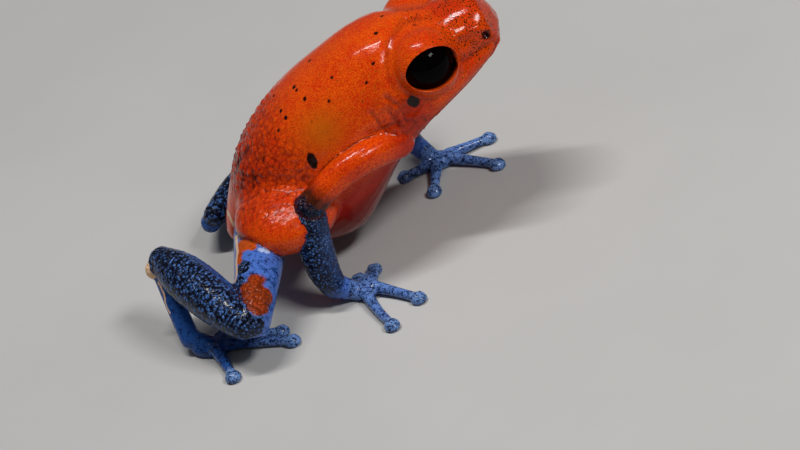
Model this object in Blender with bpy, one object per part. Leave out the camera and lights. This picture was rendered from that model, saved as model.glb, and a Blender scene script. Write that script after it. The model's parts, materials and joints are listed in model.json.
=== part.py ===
"""Strawberry poison dart frog, sitting, as a still life-size model.

The frog is drawn in millimetres in its own frame: +X ahead, +Y to its left, +Z up,
with the floor at z = 0 and the origin on the floor just behind the vent. The last step
turns the millimetres into metres and moves the origin to the middle of the footprint.
"""
import math

import bpy
import bmesh
import numpy as np
from mathutils import Matrix, Vector

# Driving dimensions, in millimetres and degrees
GAP = 0.3                     # clear space between two nodes
BODY_LENGTH = 19.8            # centre line, from its start to the snout
VENT = (0.9, 0.0, 1.9)        # where the centre line starts, just behind the vent
PITCH_VENT = 33.0             # slope of the centre line at its start
PITCH_SNOUT = 13.0            # and at the snout
NECK = 12.4                   # distance along the back where the head starts
RUMP_CAP = 0.1                # how far the rump and the snout reach past their last sections
SNOUT_CAP = 0.15
SNOUT_BEND = 1.3              # length of the snout's rounded end
BODY_SIDES = 32               # corners of a body section
BODY_SQUARENESS = 2.3         # 2 is an ellipse, more is boxier

EYE_RADIUS = 1.52
EYE_ALONG = 15.85             # place of an eye: along the back, out and up
EYE_OUT = 2.3
EYE_UP = 1.68
EYE_GAP = 0.2                 # clear space round an eyeball, so that it isn't sunk
LID_THICKNESS = 0.2
LID_HEIGHT = 1.86             # how far the lids stand out along the look direction
EYE_OPENING = (1.52, 1.14)    # half length and half height between the lids
NOSTRIL_RADIUS = 0.24
NOSTRIL_ALONG = 19.3
NOSTRIL_UP = 1.1
EAR_RADIUS = 0.6
EAR_THICKNESS = 0.5
EAR_ALONG = 14.0
EAR_UP = 0.6
MOUTH_CORNER = 13.9           # the mouth line runs from here round the snout
MOUTH_FADE = 0.8              # length over which its corner fades out
MOUTH_STEP = 3                # section corners below the widest one
MOUTH_DEPTH = 0.22
LIP_SWELL = 0.05

DISC_RADIUS = 0.47            # pads on the tips of fingers and toes
DISC_HEIGHT = 0.3             # half thickness of a pad
DISC_LEVEL = 0.2              # its middle over the floor
DIGIT_RADIUS = 0.29
DIGIT_ROOT_RADIUS = 0.36
DIGIT_LEVELS = (0.42, 0.32, 0.24)   # middle of a digit over the floor: root, bend, tip
DIGIT_SIDES = 7
LIMB_SIDES = 14

# Body sections: along the back, top, bottom, half width, height of the widest line
SECTIONS = [
    (0.8, 0.7, 0.0, 0.75, 0.3),
    (1.4, 1.25, -0.5, 1.45, 0.25),
    (2.7, 2.15, -1.45, 2.4, 0.1),
    (4.5, 3.3, -3.7, 3.35, 0.0),
    (6.7, 4.1, -4.45, 3.9, 0.0),
    (9.0, 4.5, -3.65, 4.1, 0.0),
    (11.2, 4.6, -2.6, 3.85, 0.0),
    (13.0, 4.65, -2.0, 3.65, 0.0),
    (14.4, 4.4, -1.55, 3.6, 0.1),
    (16.0, 3.8, -1.25, 3.25, 0.1),
    (17.4, 3.05, -1.05, 2.65, 0.15),
    (18.7, 2.85, -0.65, 2.2, 0.45),
    (19.55, 2.55, -0.25, 1.85, 0.65),
    (19.95, 2.1, 0.1, 1.35, 0.8),
]

# Folds of the flank over the roots of the thighs: centre, and radii ahead, across and up
FLANK_FOLDS = [
    ((4.95, -3.1, 4.6), (2.95, 3.3, 1.75)),
    ((5.3, 2.6, 4.7), (2.5, 3.0, 1.75)),
]

# Skin colours (linear), shared by the materials below
ORANGE = (0.72, 0.115, 0.012)
DARK_BLUE = (0.035, 0.065, 0.16)
SKY_BLUE = (0.16, 0.30, 0.55)
EYE_DARK = (0.012, 0.006, 0.004)


def clear_scene():
    """Remove every object that the file opens with."""
    for item in list(bpy.data.objects):
        bpy.data.objects.remove(item, do_unlink=True)


def paint(thing, colour, roughness):
    """Give an object its own material."""
    material = bpy.data.materials.new(thing.name + "_skin")
    material.use_nodes = True
    shader = material.node_tree.nodes["Principled BSDF"]
    shader.inputs["Base Color"].default_value = (*colour, 1.0)
    shader.inputs["Roughness"].default_value = roughness
    shader.inputs["Metallic"].default_value = 0.0
    thing.data.materials.clear()
    thing.data.materials.append(material)


def smooth_keys(keys, count):
    """Read count rows from a smooth curve through the rows of keys."""
    keys = np.array(keys, float)
    rows = []
    for place in np.linspace(0.0, len(keys) - 1.0, count):
        first = min(int(place), len(keys) - 2)
        t = place - first
        before = keys[max(first - 1, 0)]
        start = keys[first]
        end = keys[first + 1]
        after = keys[min(first + 2, len(keys) - 1)]
        rows.append(0.5 * (2 * start + (end - before) * t
                           + (2 * before - 5 * start + 4 * end - after) * t ** 2
                           + (3 * start - before - 3 * end + after) * t ** 3))
    return np.array(rows)


def unit(vector):
    """Return a vector of length one."""
    vector = np.array(vector, float)
    return vector / np.linalg.norm(vector)


PROFILE = smooth_keys(SECTIONS, 400)


def section(along):
    """Top, bottom, half width and widest height of the body at a distance along it."""
    return [np.interp(along, PROFILE[:, 0], PROFILE[:, column]) for column in range(1, 5)]


def spine(along):
    """Point, forward direction and up direction of the bent centre line."""
    def slope(place):
        share = np.clip(place / BODY_LENGTH, 0.0, 1.0)
        return np.radians(PITCH_VENT + (PITCH_SNOUT - PITCH_VENT) * share)
    steps = 24
    middles = (np.arange(steps) + 0.5) * along / steps
    reach = along / steps * np.array([np.cos(slope(middles)).sum(), 0.0,
                                      np.sin(slope(middles)).sum()])
    angle = slope(along)
    forward = np.array([math.cos(angle), 0.0, math.sin(angle)])
    up = np.array([-math.sin(angle), 0.0, math.cos(angle)])
    return np.array(VENT) + reach, forward, up


def on_body(along, out, up):
    """World point from body coordinates; out is positive to the frog's left."""
    centre, _, upward = spine(along)
    return centre + out * np.array([0.0, 1.0, 0.0]) + up * upward


def half_width(along, up):
    """Distance from the middle plane to the skin at a height over the centre line."""
    top, bottom, wide, middle = section(along)
    reach = top - middle if up > middle else middle - bottom
    share = min(abs(up - middle) / reach, 1.0)
    return wide * (1.0 - share ** BODY_SQUARENESS) ** (1.0 / BODY_SQUARENESS)


def mouth_depth(corner, along):
    """How far a corner of a head section is set in for the mouth line, or out for a lip."""
    if along <= MOUTH_CORNER:
        return 0.0
    below = corner - BODY_SIDES // 2
    if corner > 3 * BODY_SIDES // 4:
        below = BODY_SIDES - corner
    depth = {MOUTH_STEP - 1: -LIP_SWELL, MOUTH_STEP: MOUTH_DEPTH, MOUTH_STEP + 1: -LIP_SWELL}
    return depth.get(below, 0.0) * min(1.0, (along - MOUTH_CORNER) / MOUTH_FADE)


def body_ring(along, grow=0.0):
    """One closed section of the body; the corners run from the left side over the top."""
    top, bottom, wide, middle = section(along)
    points = []
    for corner in range(BODY_SIDES):
        angle = 2.0 * math.pi * corner / BODY_SIDES
        across = math.copysign(abs(math.cos(angle)) ** (2.0 / BODY_SQUARENESS), math.cos(angle))
        rise = abs(math.sin(angle)) ** (2.0 / BODY_SQUARENESS)
        height = middle + (top - middle + grow) * rise
        if math.sin(angle) < 0.0:
            height = middle - (middle - bottom + grow) * rise
        inset = 0.0 if grow else mouth_depth(corner, along)
        points.append(on_body(along, across * (wide + grow - inset), height))
    return points


def mesh_object(name, points, faces):
    """Make an object from points and faces, with its faces turned outward."""
    mesh = bpy.data.meshes.new(name)
    mesh.from_pydata([tuple(map(float, point)) for point in points], [], faces)
    work = bmesh.new()
    work.from_mesh(mesh)
    bmesh.ops.recalc_face_normals(work, faces=work.faces)
    bmesh.ops.triangulate(work, faces=work.faces)
    work.to_mesh(mesh)
    work.free()
    thing = bpy.data.objects.new(name, mesh)
    bpy.context.scene.collection.objects.link(thing)
    return thing


def loft(name, rings, first_tip=None, last_tip=None):
    """Skin a row of rings; an end is closed by a tip point or by its middle."""
    sides = len(rings[0])
    points = [point for ring in rings for point in ring]
    faces = []
    for row in range(len(rings) - 1):
        for side in range(sides):
            following = (side + 1) % sides
            low = row * sides
            high = low + sides
            faces.append((low + side, low + following, high + following, high + side))
    for tip, start in ((first_tip, 0), (last_tip, (len(rings) - 1) * sides)):
        if tip is None:
            tip = np.mean(points[start:start + sides], axis=0)
        points.append(tip)
        for side in range(sides):
            faces.append((start + side, start + (side + 1) % sides, len(points) - 1))
    return mesh_object(name, points, faces)


def tube(name, keys, rows=9, sides=LIMB_SIDES, flatten=1.0):
    """A tapered tube with round ends through keys of x, y, z and radius."""
    path = smooth_keys(keys, rows)
    centres = path[:, :3]
    radii = path[:, 3]
    ahead = [unit(centres[min(i + 1, rows - 1)] - centres[max(i - 1, 0)]) for i in range(rows)]
    across = unit(np.cross(ahead[0], (0.0, 0.0, 1.0)))
    stations = []
    for angle in (60.0, 30.0):
        stations.append((centres[0] - ahead[0] * radii[0] * math.sin(math.radians(angle)),
                         radii[0] * math.cos(math.radians(angle)), ahead[0]))
    stations += list(zip(centres, radii, ahead))
    for angle in (30.0, 60.0):
        stations.append((centres[-1] + ahead[-1] * radii[-1] * math.sin(math.radians(angle)),
                         radii[-1] * math.cos(math.radians(angle)), ahead[-1]))
    rings = []
    for centre, radius, forward in stations:
        across = unit(across - forward * np.dot(across, forward))
        other = np.cross(forward, across)
        turn = [2.0 * math.pi * side / sides for side in range(sides)]
        rings.append([centre + radius * (math.cos(t) * across + math.sin(t) * flatten * other)
                      for t in turn])
    return loft(name, rings, centres[0] - ahead[0] * radii[0],
                centres[-1] + ahead[-1] * radii[-1])


def ball(name, centre, radii, forward=(1.0, 0.0, 0.0), up=(0.0, 0.0, 1.0), sides=12, rows=7):
    """An ellipsoid whose three radii lie forward, across and up."""
    forward = unit(forward)
    across = unit(np.cross(up, forward))
    upward = np.cross(forward, across)
    axes = (forward, across, upward)

    def at(turn, tilt):
        place = (math.cos(tilt) * math.cos(turn), math.cos(tilt) * math.sin(turn), math.sin(tilt))
        return np.array(centre) + sum(r * p * a for r, p, a in zip(radii, place, axes))

    rings = []
    for row in range(1, rows):
        tilt = math.pi * (row / rows - 0.5)
        rings.append([at(2.0 * math.pi * side / sides, tilt) for side in range(sides)])
    return loft(name, rings, at(0.0, -0.5 * math.pi), at(0.0, 0.5 * math.pi))


def rod(name, centre, axis, long_way, radii, length, sides=20):
    """An elliptic rod along an axis; radii lie along long_way and across it."""
    axis = unit(axis)
    first = unit(np.array(long_way) - axis * np.dot(long_way, axis))
    second = np.cross(axis, first)
    rings = []
    for end in (-0.5, 0.5):
        rings.append([np.array(centre) + axis * length * end
                      + radii[0] * math.cos(t) * first + radii[1] * math.sin(t) * second
                      for t in np.linspace(0.0, 2.0 * math.pi, sides, endpoint=False)])
    return loft(name, rings)


def keep_largest(thing):
    """Keep only the largest closed surface of an object."""
    work = bmesh.new()
    work.from_mesh(thing.data)
    unseen = set(work.faces)
    islands = []
    while unseen:
        island = {unseen.pop()}
        front = list(island)
        while front:
            near = {other for edge in front.pop().edges for other in edge.link_faces}
            fresh = near & unseen
            unseen -= fresh
            island |= fresh
            front += fresh
        islands.append(island)
    islands.sort(key=lambda island: sum(face.calc_area() for face in island))
    for island in islands[:-1]:
        bmesh.ops.delete(work, geom=list(island), context="FACES")
    loose = [vert for vert in work.verts if not vert.link_faces]
    bmesh.ops.delete(work, geom=loose, context="VERTS")
    work.to_mesh(thing.data)
    work.free()


def carve(thing, pieces, operation):
    """Join pieces to an object, or cut them from it, and remove the pieces."""
    helpers = bpy.data.collections.new("helpers")
    bpy.context.scene.collection.children.link(helpers)
    for piece in pieces:
        bpy.context.scene.collection.objects.unlink(piece)
        helpers.objects.link(piece)
    change = thing.modifiers.new("carve", "BOOLEAN")
    change.operation = operation
    change.operand_type = "COLLECTION"
    change.collection = helpers
    change.solver = "MANIFOLD"
    bpy.context.view_layer.update()
    bpy.context.view_layer.objects.active = thing
    with bpy.context.temp_override(object=thing, active_object=thing, selected_objects=[thing]):
        bpy.ops.object.modifier_apply(modifier=change.name)
    for piece in pieces:
        bpy.data.objects.remove(piece, do_unlink=True)
    bpy.data.collections.remove(helpers)
    keep_largest(thing)
    return thing


def half_space(point, normal):
    """A large block whose one face passes through a point, on the normal's side."""
    size = 40.0
    normal = Vector(unit(normal))
    turn = normal.to_track_quat("Z", "Y").to_matrix().to_4x4()
    centre = Vector(point) + normal * size * 0.5
    corners = [(x * size, y * size, z * size)
               for x in (-0.5, 0.5) for y in (-0.5, 0.5) for z in (-0.5, 0.5)]
    corners = [Matrix.Translation(centre) @ turn @ Vector(corner) for corner in corners]
    faces = [(0, 1, 3, 2), (4, 6, 7, 5), (0, 4, 5, 1), (2, 3, 7, 6), (0, 2, 6, 4), (1, 5, 7, 3)]
    return mesh_object("half_space", corners, faces)


def grown_body():
    """The head and trunk together, larger by the gap all round, as a cutter."""
    rows = np.linspace(SECTIONS[0][0], SECTIONS[-1][0], 30)
    rings = [body_ring(along, GAP) for along in rows]
    return loft("grown_body", rings, on_body(SECTIONS[0][0] - RUMP_CAP - GAP, 0.0, SECTIONS[0][4]),
                on_body(SECTIONS[-1][0] + SNOUT_CAP + GAP, 0.0, SECTIONS[-1][4]))


def flank_folds(grow=0.0):
    """The folds of the flank, made larger all round when they are used as cutters."""
    return [ball("fold", centre, np.array(radii) + grow, sides=20, rows=12)
            for centre, radii in FLANK_FOLDS]


def torso():
    """The trunk, from the vent to the neck, with the flank's folds over the thighs."""
    first = SECTIONS[0][0]
    rows = np.concatenate([[first, 1.35 * first], np.linspace(SECTIONS[1][0], NECK - 0.5 * GAP, 14)])
    rings = [body_ring(along) for along in rows]
    thing = loft("torso", rings, on_body(first - RUMP_CAP, 0.0, SECTIONS[0][4]))
    carve(thing, flank_folds(), "UNION")
    paint(thing, ORANGE, 0.35)


def eye_place(side):
    """Centre, look direction and long direction of an eye; side is 1 on the left."""
    centre = on_body(EYE_ALONG, side * EYE_OUT, EYE_UP)
    _, forward, up = spine(EYE_ALONG)
    look = unit(np.array([0.0, side, 0.0]) + 0.28 * forward + 0.10 * up)
    nostril = on_body(NOSTRIL_ALONG, side * half_width(NOSTRIL_ALONG, NOSTRIL_UP), NOSTRIL_UP)
    return centre, look, nostril - centre


def ear_place(side):
    """Centre and outward direction of an eardrum on the skin."""
    out = half_width(EAR_ALONG, EAR_UP)
    step = 0.3
    slope_up = (half_width(EAR_ALONG, EAR_UP + step) - half_width(EAR_ALONG, EAR_UP - step))
    slope_on = (half_width(EAR_ALONG + step, EAR_UP) - half_width(EAR_ALONG - step, EAR_UP))
    _, forward, up = spine(EAR_ALONG)
    normal = unit(np.array([0.0, side, 0.0]) - forward * slope_on / (2 * step)
                  - up * slope_up / (2 * step))
    return on_body(EAR_ALONG, side * out, EAR_UP), normal


def head():
    """The head, with lids round the eyes, nostrils, mouth line and ear recesses."""
    last = SECTIONS[-1][0]
    snout = last - SNOUT_BEND * np.cos(np.radians([20.0, 45.0, 60.0, 75.0, 90.0]))
    rows = np.concatenate([np.linspace(NECK + 0.5 * GAP, last - SNOUT_BEND, 17), snout])
    rings = [body_ring(along) for along in rows]
    thing = loft("head", rings, None, on_body(last + SNOUT_CAP, 0.0, SECTIONS[-1][4]))
    lids = []
    hollows = []
    for side in (1, -1):
        centre, look, long_way = eye_place(side)
        socket = EYE_RADIUS + EYE_GAP
        lid = socket + LID_THICKNESS
        lids.append(ball("lid", centre, (lid, lid, LID_HEIGHT), long_way, look, 20, 12))
        hollows.append(ball("socket", centre, (socket, socket, socket), long_way, look, 20, 12))
        middle = centre + look * (0.5 * socket + 1.5)
        hollows.append(rod("opening", middle, look, long_way, EYE_OPENING, 3.0))
        nose = on_body(NOSTRIL_ALONG, side * half_width(NOSTRIL_ALONG, NOSTRIL_UP), NOSTRIL_UP)
        pit = (NOSTRIL_RADIUS, NOSTRIL_RADIUS, NOSTRIL_RADIUS)
        hollows.append(ball("nostril", nose, pit, sides=10, rows=6))
        drum, outward = ear_place(side)
        recess = (EAR_RADIUS + GAP, EAR_RADIUS + GAP)
        depth = EAR_THICKNESS + GAP
        hollows.append(rod("recess", drum, outward, (0.0, 0.0, 1.0), recess, 2.0 * depth, 18))
    carve(thing, lids, "UNION")
    carve(thing, [half_space(on_body(NECK + 0.5 * GAP, 0.0, 0.0), -spine(NECK)[1])], "DIFFERENCE")
    carve(thing, hollows, "DIFFERENCE")
    paint(thing, ORANGE, 0.3)


def eyes():
    """Two round eyes in their sockets."""
    for side, name in ((1, "eye_left"), (-1, "eye_right")):
        centre, look, long_way = eye_place(side)
        size = (EYE_RADIUS, EYE_RADIUS, EYE_RADIUS)
        paint(ball(name, centre, size, long_way, look, 20, 12), EYE_DARK, 0.05)


def eardrums():
    """Two round eardrums in their recesses."""
    for side, name in ((1, "eardrum_left"), (-1, "eardrum_right")):
        drum, outward = ear_place(side)
        middle = drum - outward * 0.5 * EAR_THICKNESS
        thing = rod(name, middle, outward, (0.0, 0.0, 1.0), (EAR_RADIUS, EAR_RADIUS),
                    EAR_THICKNESS, 18)
        paint(thing, ORANGE, 0.35)


def paw(name, root, palm, digits):
    """A hand or foot: its stub, palm, digits and tip discs, flat on the floor."""
    palm_centre, palm_radii, palm_ahead = palm
    thing = ball(name, palm_centre, palm_radii, palm_ahead, sides=14, rows=8)
    pieces = [tube("stub", root, 5, 12)]
    for start, bend, tip in digits:
        radii = (DIGIT_ROOT_RADIUS, DIGIT_RADIUS, 0.9 * DIGIT_RADIUS)
        keys = [(*place, level, radius)
                for place, level, radius in zip((start, bend, tip), DIGIT_LEVELS, radii)]
        pieces.append(tube("digit", keys, 5, DIGIT_SIDES))
        ahead = (tip[0] - bend[0], tip[1] - bend[1], 0.0)
        disc = (DISC_RADIUS, DISC_RADIUS * 0.95, DISC_HEIGHT)
        pieces.append(ball("disc", (*tip, DISC_LEVEL), disc, ahead, sides=10, rows=5))
    carve(thing, pieces, "UNION")
    return carve(thing, [half_space((0.0, 0.0, 0.0), (0.0, 0.0, -1.0))], "DIFFERENCE")


def direction(keys, first, last):
    """Direction between two keys of a limb."""
    return unit(np.array(keys[last][:3], float) - np.array(keys[first][:3], float))


def limb(parts):
    """Build the nodes of one limb and part each pair by a plane across their joint.

    A part is a name, its keys, its colour and, for a hand or foot, its palm and digits.
    """
    things = []
    for name, keys, colour, ends in parts:
        if ends:
            thing = paw(name, keys, *ends)
        else:
            thing = tube(name, keys, 10)
        things.append(thing)
    for index in range(len(parts) - 1):
        upper = parts[index][1]
        lower = parts[index + 1][1]
        joint = 0.5 * (np.array(upper[-1][:3], float) + np.array(lower[0][:3], float))
        normal = unit(direction(upper, -2, -1) + direction(lower, 0, 1))
        reach = 0.5 * GAP * normal
        carve(things[index], [half_space(joint - reach, normal)], "DIFFERENCE")
        carve(things[index + 1], [half_space(joint + reach, -normal)], "DIFFERENCE")
    for thing, part in zip(things, parts):
        carve(thing, [grown_body(), *flank_folds(GAP)], "DIFFERENCE")
        paint(thing, part[2], 0.3)


def right_arm():
    """The near arm: the hand is planted beside the belly."""
    elbow = (6.4, -5.1, 5.75)
    wrist = (6.2, -6.27, 1.2)
    upper = [(11.9, -3.1, 6.6, 0.95), (10.2, -4.15, 6.95, 0.88), (8.5, -4.6, 6.65, 0.85),
             (*elbow, 0.78)]
    fore = [(*elbow, 0.8), (6.0, -5.75, 3.6, 0.95), (6.0, -6.2, 2.2, 0.88), (*wrist, 0.72)]
    stub = [(*wrist, 0.7), (6.9, -6.25, 0.65, 0.58)]
    palm = ((7.6, -6.2, 0.3), (0.95, 0.78, 0.5), (1.0, -0.4, 0.0))
    digits = [((7.5, -5.8), (7.55, -5.4), (7.45, -4.95)),
              ((7.9, -5.9), (8.3, -5.3), (8.4, -4.5)),
              ((8.2, -6.4), (9.2, -7.35), (10.4, -8.6)),
              ((7.7, -6.8), (8.1, -8.5), (8.7, -10.3))]
    limb([("upper_arm_right", upper, ORANGE, None),
          ("forearm_right", fore, DARK_BLUE, None),
          ("hand_right", stub, SKY_BLUE, (palm, digits))])


def left_arm():
    """The far arm: it reaches forward beside the chest."""
    shoulder = on_body(11.4, 3.0, -1.0)
    elbow = (11.0, 6.6, 5.3)
    wrist = (12.2, 5.0, 1.5)
    upper = [(*shoulder, 1.15), (11.0, 5.0, 6.0, 0.95), (*elbow, 0.78)]
    fore = [(*elbow, 0.8), (11.5, 6.0, 3.6, 0.92), (*wrist, 0.62)]
    stub = [(*wrist, 0.6), (12.8, 4.5, 0.7, 0.55)]
    palm = ((13.2, 4.2, 0.3), (1.05, 0.75, 0.5), (1.0, -0.15, 0.0))
    digits = [((12.8, 4.0), (12.0, 3.8), (11.2, 3.8)),
              ((13.1, 3.6), (12.85, 2.4), (12.6, 1.3)),
              ((13.9, 3.9), (15.2, 2.9), (16.4, 1.9)),
              ((13.9, 4.3), (15.1, 4.6), (16.3, 4.9))]
    limb([("upper_arm_left", upper, ORANGE, None),
          ("forearm_left", fore, DARK_BLUE, None),
          ("hand_left", stub, SKY_BLUE, (palm, digits))])


def right_leg():
    """The near leg: knee out to the side, heel up behind, foot forward under the knee."""
    hip = on_body(2.4, -1.5, -0.1)
    ankle = (-2.1, -6.2, 0.8)
    thigh = [(*hip, 1.4), (2.8, -5.4, 3.6, 1.35), (1.85, -9.4, 2.75, 1.0)]
    shank = [(1.25, -9.55, 2.8, 0.9), (0.1, -7.6, 3.45, 1.27), (-1.3, -5.1, 4.05, 1.25),
             (-2.25, -3.4, 4.35, 0.8)]
    tarsus = [(-2.5, -3.2, 3.7, 0.62), (-2.35, -4.8, 2.3, 0.55), (*ankle, 0.58)]
    stub = [(*ankle, 0.55), (-1.3, -6.7, 0.5, 0.5)]
    palm = ((-1.0, -6.9, 0.28), (1.3, 0.7, 0.5), (1.0, -0.35, 0.0))
    digits = [((-0.6, -6.4), (-0.1, -5.8), (0.4, -5.4)),
              ((-0.3, -6.7), (0.8, -6.3), (1.7, -6.2)),
              ((0.0, -7.0), (1.4, -7.2), (2.8, -7.5)),
              ((0.0, -7.3), (1.7, -8.0), (3.3, -8.7)),
              ((-0.9, -7.4), (-0.5, -8.9), (-0.2, -10.2))]
    limb([("thigh_right", thigh, SKY_BLUE, None),
          ("shank_right", shank, DARK_BLUE, None),
          ("tarsus_right", tarsus, SKY_BLUE, None),
          ("foot_right", stub, SKY_BLUE, (palm, digits))])


def left_leg():
    """The far leg, folded closer to the body than the near one."""
    hip = on_body(2.4, 1.5, 0.1)
    ankle = (1.4, 6.9, 0.8)
    thigh = [(*hip, 1.4), (5.3, 4.8, 3.9, 1.4), (7.1, 8.4, 3.2, 1.05)]
    shank = [(6.3, 9.0, 2.5, 1.0), (4.3, 7.2, 2.3, 1.1), (2.0, 5.0, 2.2, 0.95),
             (0.5, 3.1, 2.2, 0.66)]
    tarsus = [(0.1, 3.2, 1.75, 0.58), (0.4, 5.2, 1.15, 0.55), (*ankle, 0.58)]
    stub = [(*ankle, 0.55), (2.2, 7.5, 0.5, 0.5)]
    palm = ((2.5, 7.6, 0.28), (1.3, 0.7, 0.5), (1.0, 0.35, 0.0))
    digits = [((2.9, 7.1), (3.4, 6.5), (3.9, 6.2)),
              ((3.2, 7.4), (4.3, 7.0), (5.2, 6.9)),
              ((3.5, 7.7), (4.9, 7.9), (6.3, 8.1)),
              ((3.5, 8.0), (5.3, 8.7), (7.0, 9.5)),
              ((2.8, 8.2), (3.6, 9.4), (4.2, 10.6))]
    limb([("thigh_left", thigh, SKY_BLUE, None),
          ("shank_left", shank, DARK_BLUE, None),
          ("tarsus_left", tarsus, SKY_BLUE, None),
          ("foot_left", stub, SKY_BLUE, (palm, digits))])


def settle():
    """Turn millimetres into metres, with the origin in the middle of the footprint."""
    things = [thing for thing in bpy.data.objects if thing.type == "MESH"]
    corners = np.array([tuple(vert.co) for thing in things for vert in thing.data.vertices])
    low = corners.min(axis=0)
    high = corners.max(axis=0)
    middle = Vector((0.5 * (low[0] + high[0]), 0.5 * (low[1] + high[1]), 0.0))
    for thing in things:
        thing.data.transform(Matrix.Scale(0.001, 4) @ Matrix.Translation(-middle))
        thing.data.shade_smooth()
        thing.data.set_sharp_from_angle(angle=math.radians(40.0))
    print("footprint middle, mm:", tuple(round(value, 3) for value in middle))
    print("size, mm:", tuple(float(round(value, 2)) for value in high - low))


def main():
    """Build every node of the frog."""
    clear_scene()
    torso()
    head()
    eyes()
    eardrums()
    right_arm()
    left_arm()
    right_leg()
    left_leg()
    settle()


main()
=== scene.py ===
# %% [markdown]
# # A strawberry poison dart frog, life size
# The CAD solids settle the size and the pose: a frog of about 19 mm that sits up on a floor.
# Here the solids get their looks. One skin covers all the flesh, so that no seam shows at
# the neck or the limbs, and two eyes sit in its sockets. The skin is modelled in
# millimetres, because tools for clay-like work are happier with sizes near one than with
# sizes near a thousandth, and is brought to metres at its end.

import json
import math

import bmesh
import bpy
import numpy as np
from mathutils import Matrix, Vector

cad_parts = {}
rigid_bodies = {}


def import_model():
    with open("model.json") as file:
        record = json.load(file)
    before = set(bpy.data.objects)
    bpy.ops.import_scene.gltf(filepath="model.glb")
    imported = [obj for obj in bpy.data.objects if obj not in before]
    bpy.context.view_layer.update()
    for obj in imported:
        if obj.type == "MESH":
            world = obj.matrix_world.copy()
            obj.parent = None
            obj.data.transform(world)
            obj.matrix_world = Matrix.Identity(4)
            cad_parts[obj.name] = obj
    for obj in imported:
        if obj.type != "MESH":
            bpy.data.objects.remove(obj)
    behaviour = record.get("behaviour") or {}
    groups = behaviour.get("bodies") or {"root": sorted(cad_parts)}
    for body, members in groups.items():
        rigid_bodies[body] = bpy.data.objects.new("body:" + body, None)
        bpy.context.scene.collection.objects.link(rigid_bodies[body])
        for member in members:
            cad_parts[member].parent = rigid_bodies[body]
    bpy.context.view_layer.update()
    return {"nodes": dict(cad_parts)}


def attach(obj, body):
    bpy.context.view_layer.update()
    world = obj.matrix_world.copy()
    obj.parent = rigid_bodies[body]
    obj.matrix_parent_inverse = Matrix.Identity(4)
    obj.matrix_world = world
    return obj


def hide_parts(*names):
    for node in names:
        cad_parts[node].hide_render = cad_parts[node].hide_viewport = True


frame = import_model()

# %% [markdown]
# ## The line of the back
# A sitting frog carries its body on a bent line: steep at the vent and nearly level at the
# snout. Every place on the trunk and head is given along that line, out to the side and up
# from it, the way a maker measures on an armature. The alternative is to give each place
# in plain x, y and z, but then no number says anything about the animal.

# %% Body measures in millimetres and degrees
MILLIMETRE = 0.001                              # in metres
FOOTPRINT_MIDDLE = Vector((8.02, 0.156, 0.0))   # from the vent to the frame's origin
BODY_LENGTH = 19.8
VENT = np.array((0.9, 0.0, 1.9))
PITCH_VENT = 33.0
PITCH_SNOUT = 13.0
SQUARENESS = 2.3                                # 2 is an oval section, more is boxier
SNOUT_TIP = (19.85, 0.0, 0.35)                  # along the back, out and up
SPINE_STEPS = 24                                # in which the bent line is added up
PROFILE_ROWS = 400

# Along the back, top, bottom, half width, height of the widest line
SECTIONS = [
    (0.8, 0.7, 0.0, 0.75, 0.3), (1.4, 1.25, -0.5, 1.45, 0.25), (2.7, 2.15, -1.45, 2.4, 0.1),
    (4.5, 3.3, -3.7, 3.35, 0.0), (6.7, 4.1, -4.45, 3.9, 0.0), (9.0, 4.5, -3.65, 4.1, 0.0),
    (11.2, 4.6, -2.6, 3.85, 0.0), (13.0, 4.65, -2.0, 3.65, 0.0), (14.4, 4.4, -1.55, 3.6, 0.1),
    (16.0, 3.8, -1.25, 3.25, 0.1), (17.4, 3.05, -1.05, 2.65, 0.15),
    (18.7, 2.85, -0.65, 2.2, 0.45), (19.55, 2.55, -0.25, 1.85, 0.65), (19.95, 2.1, 0.1, 1.35, 0.8),
]


def unit(vector):
    """A vector of length one."""
    vector = np.array(vector, float)
    return vector / np.linalg.norm(vector)


def smooth_keys(keys, count):
    """Rows read from a smooth curve through the rows of keys."""
    keys = np.array(keys, float)
    rows = []
    for place in np.linspace(0.0, len(keys) - 1.0, count):
        first = min(int(place), len(keys) - 2)
        t = place - first
        before, start, end, after = (keys[min(max(first + step, 0), len(keys) - 1)]
                                     for step in (-1, 0, 1, 2))
        rows.append(0.5 * (2 * start + (end - before) * t
                           + (2 * before - 5 * start + 4 * end - after) * t ** 2
                           + (3 * start - before - 3 * end + after) * t ** 3))
    return np.array(rows)


PROFILE = smooth_keys(SECTIONS, PROFILE_ROWS)


def section(along):
    """Top, bottom, half width and widest height of the body at a distance along it."""
    return [np.interp(along, PROFILE[:, 0], PROFILE[:, column]) for column in range(1, 5)]


def slope(place):
    """Slope of the back's line, in radians."""
    share = np.clip(place / BODY_LENGTH, 0.0, 1.0)
    return np.radians(PITCH_VENT + (PITCH_SNOUT - PITCH_VENT) * share)


def spine(along):
    """Point, forward direction and up direction of the back's line."""
    middles = (np.arange(SPINE_STEPS) + 0.5) * along / SPINE_STEPS
    reach = along / SPINE_STEPS * np.array([np.cos(slope(middles)).sum(), 0.0,
                                            np.sin(slope(middles)).sum()])
    angle = slope(along)
    forward = np.array([math.cos(angle), 0.0, math.sin(angle)])
    return VENT + reach, forward, np.array([-math.sin(angle), 0.0, math.cos(angle)])


def on_body(along, out, up):
    """Place from body coordinates; out is positive to the frog's left."""
    centre, _, upward = spine(along)
    return centre + out * np.array([0.0, 1.0, 0.0]) + up * upward


def half_width(along, up):
    """Distance from the middle plane to the skin at a height over the line."""
    top, bottom, wide, middle = section(along)
    reach = top - middle if up > middle else middle - bottom
    share = min(abs(up - middle) / reach, 1.0)
    return wide * (1.0 - share ** SQUARENESS) ** (1.0 / SQUARENESS)


print("snout tip, mm:", on_body(*SNOUT_TIP).round(2))

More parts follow.
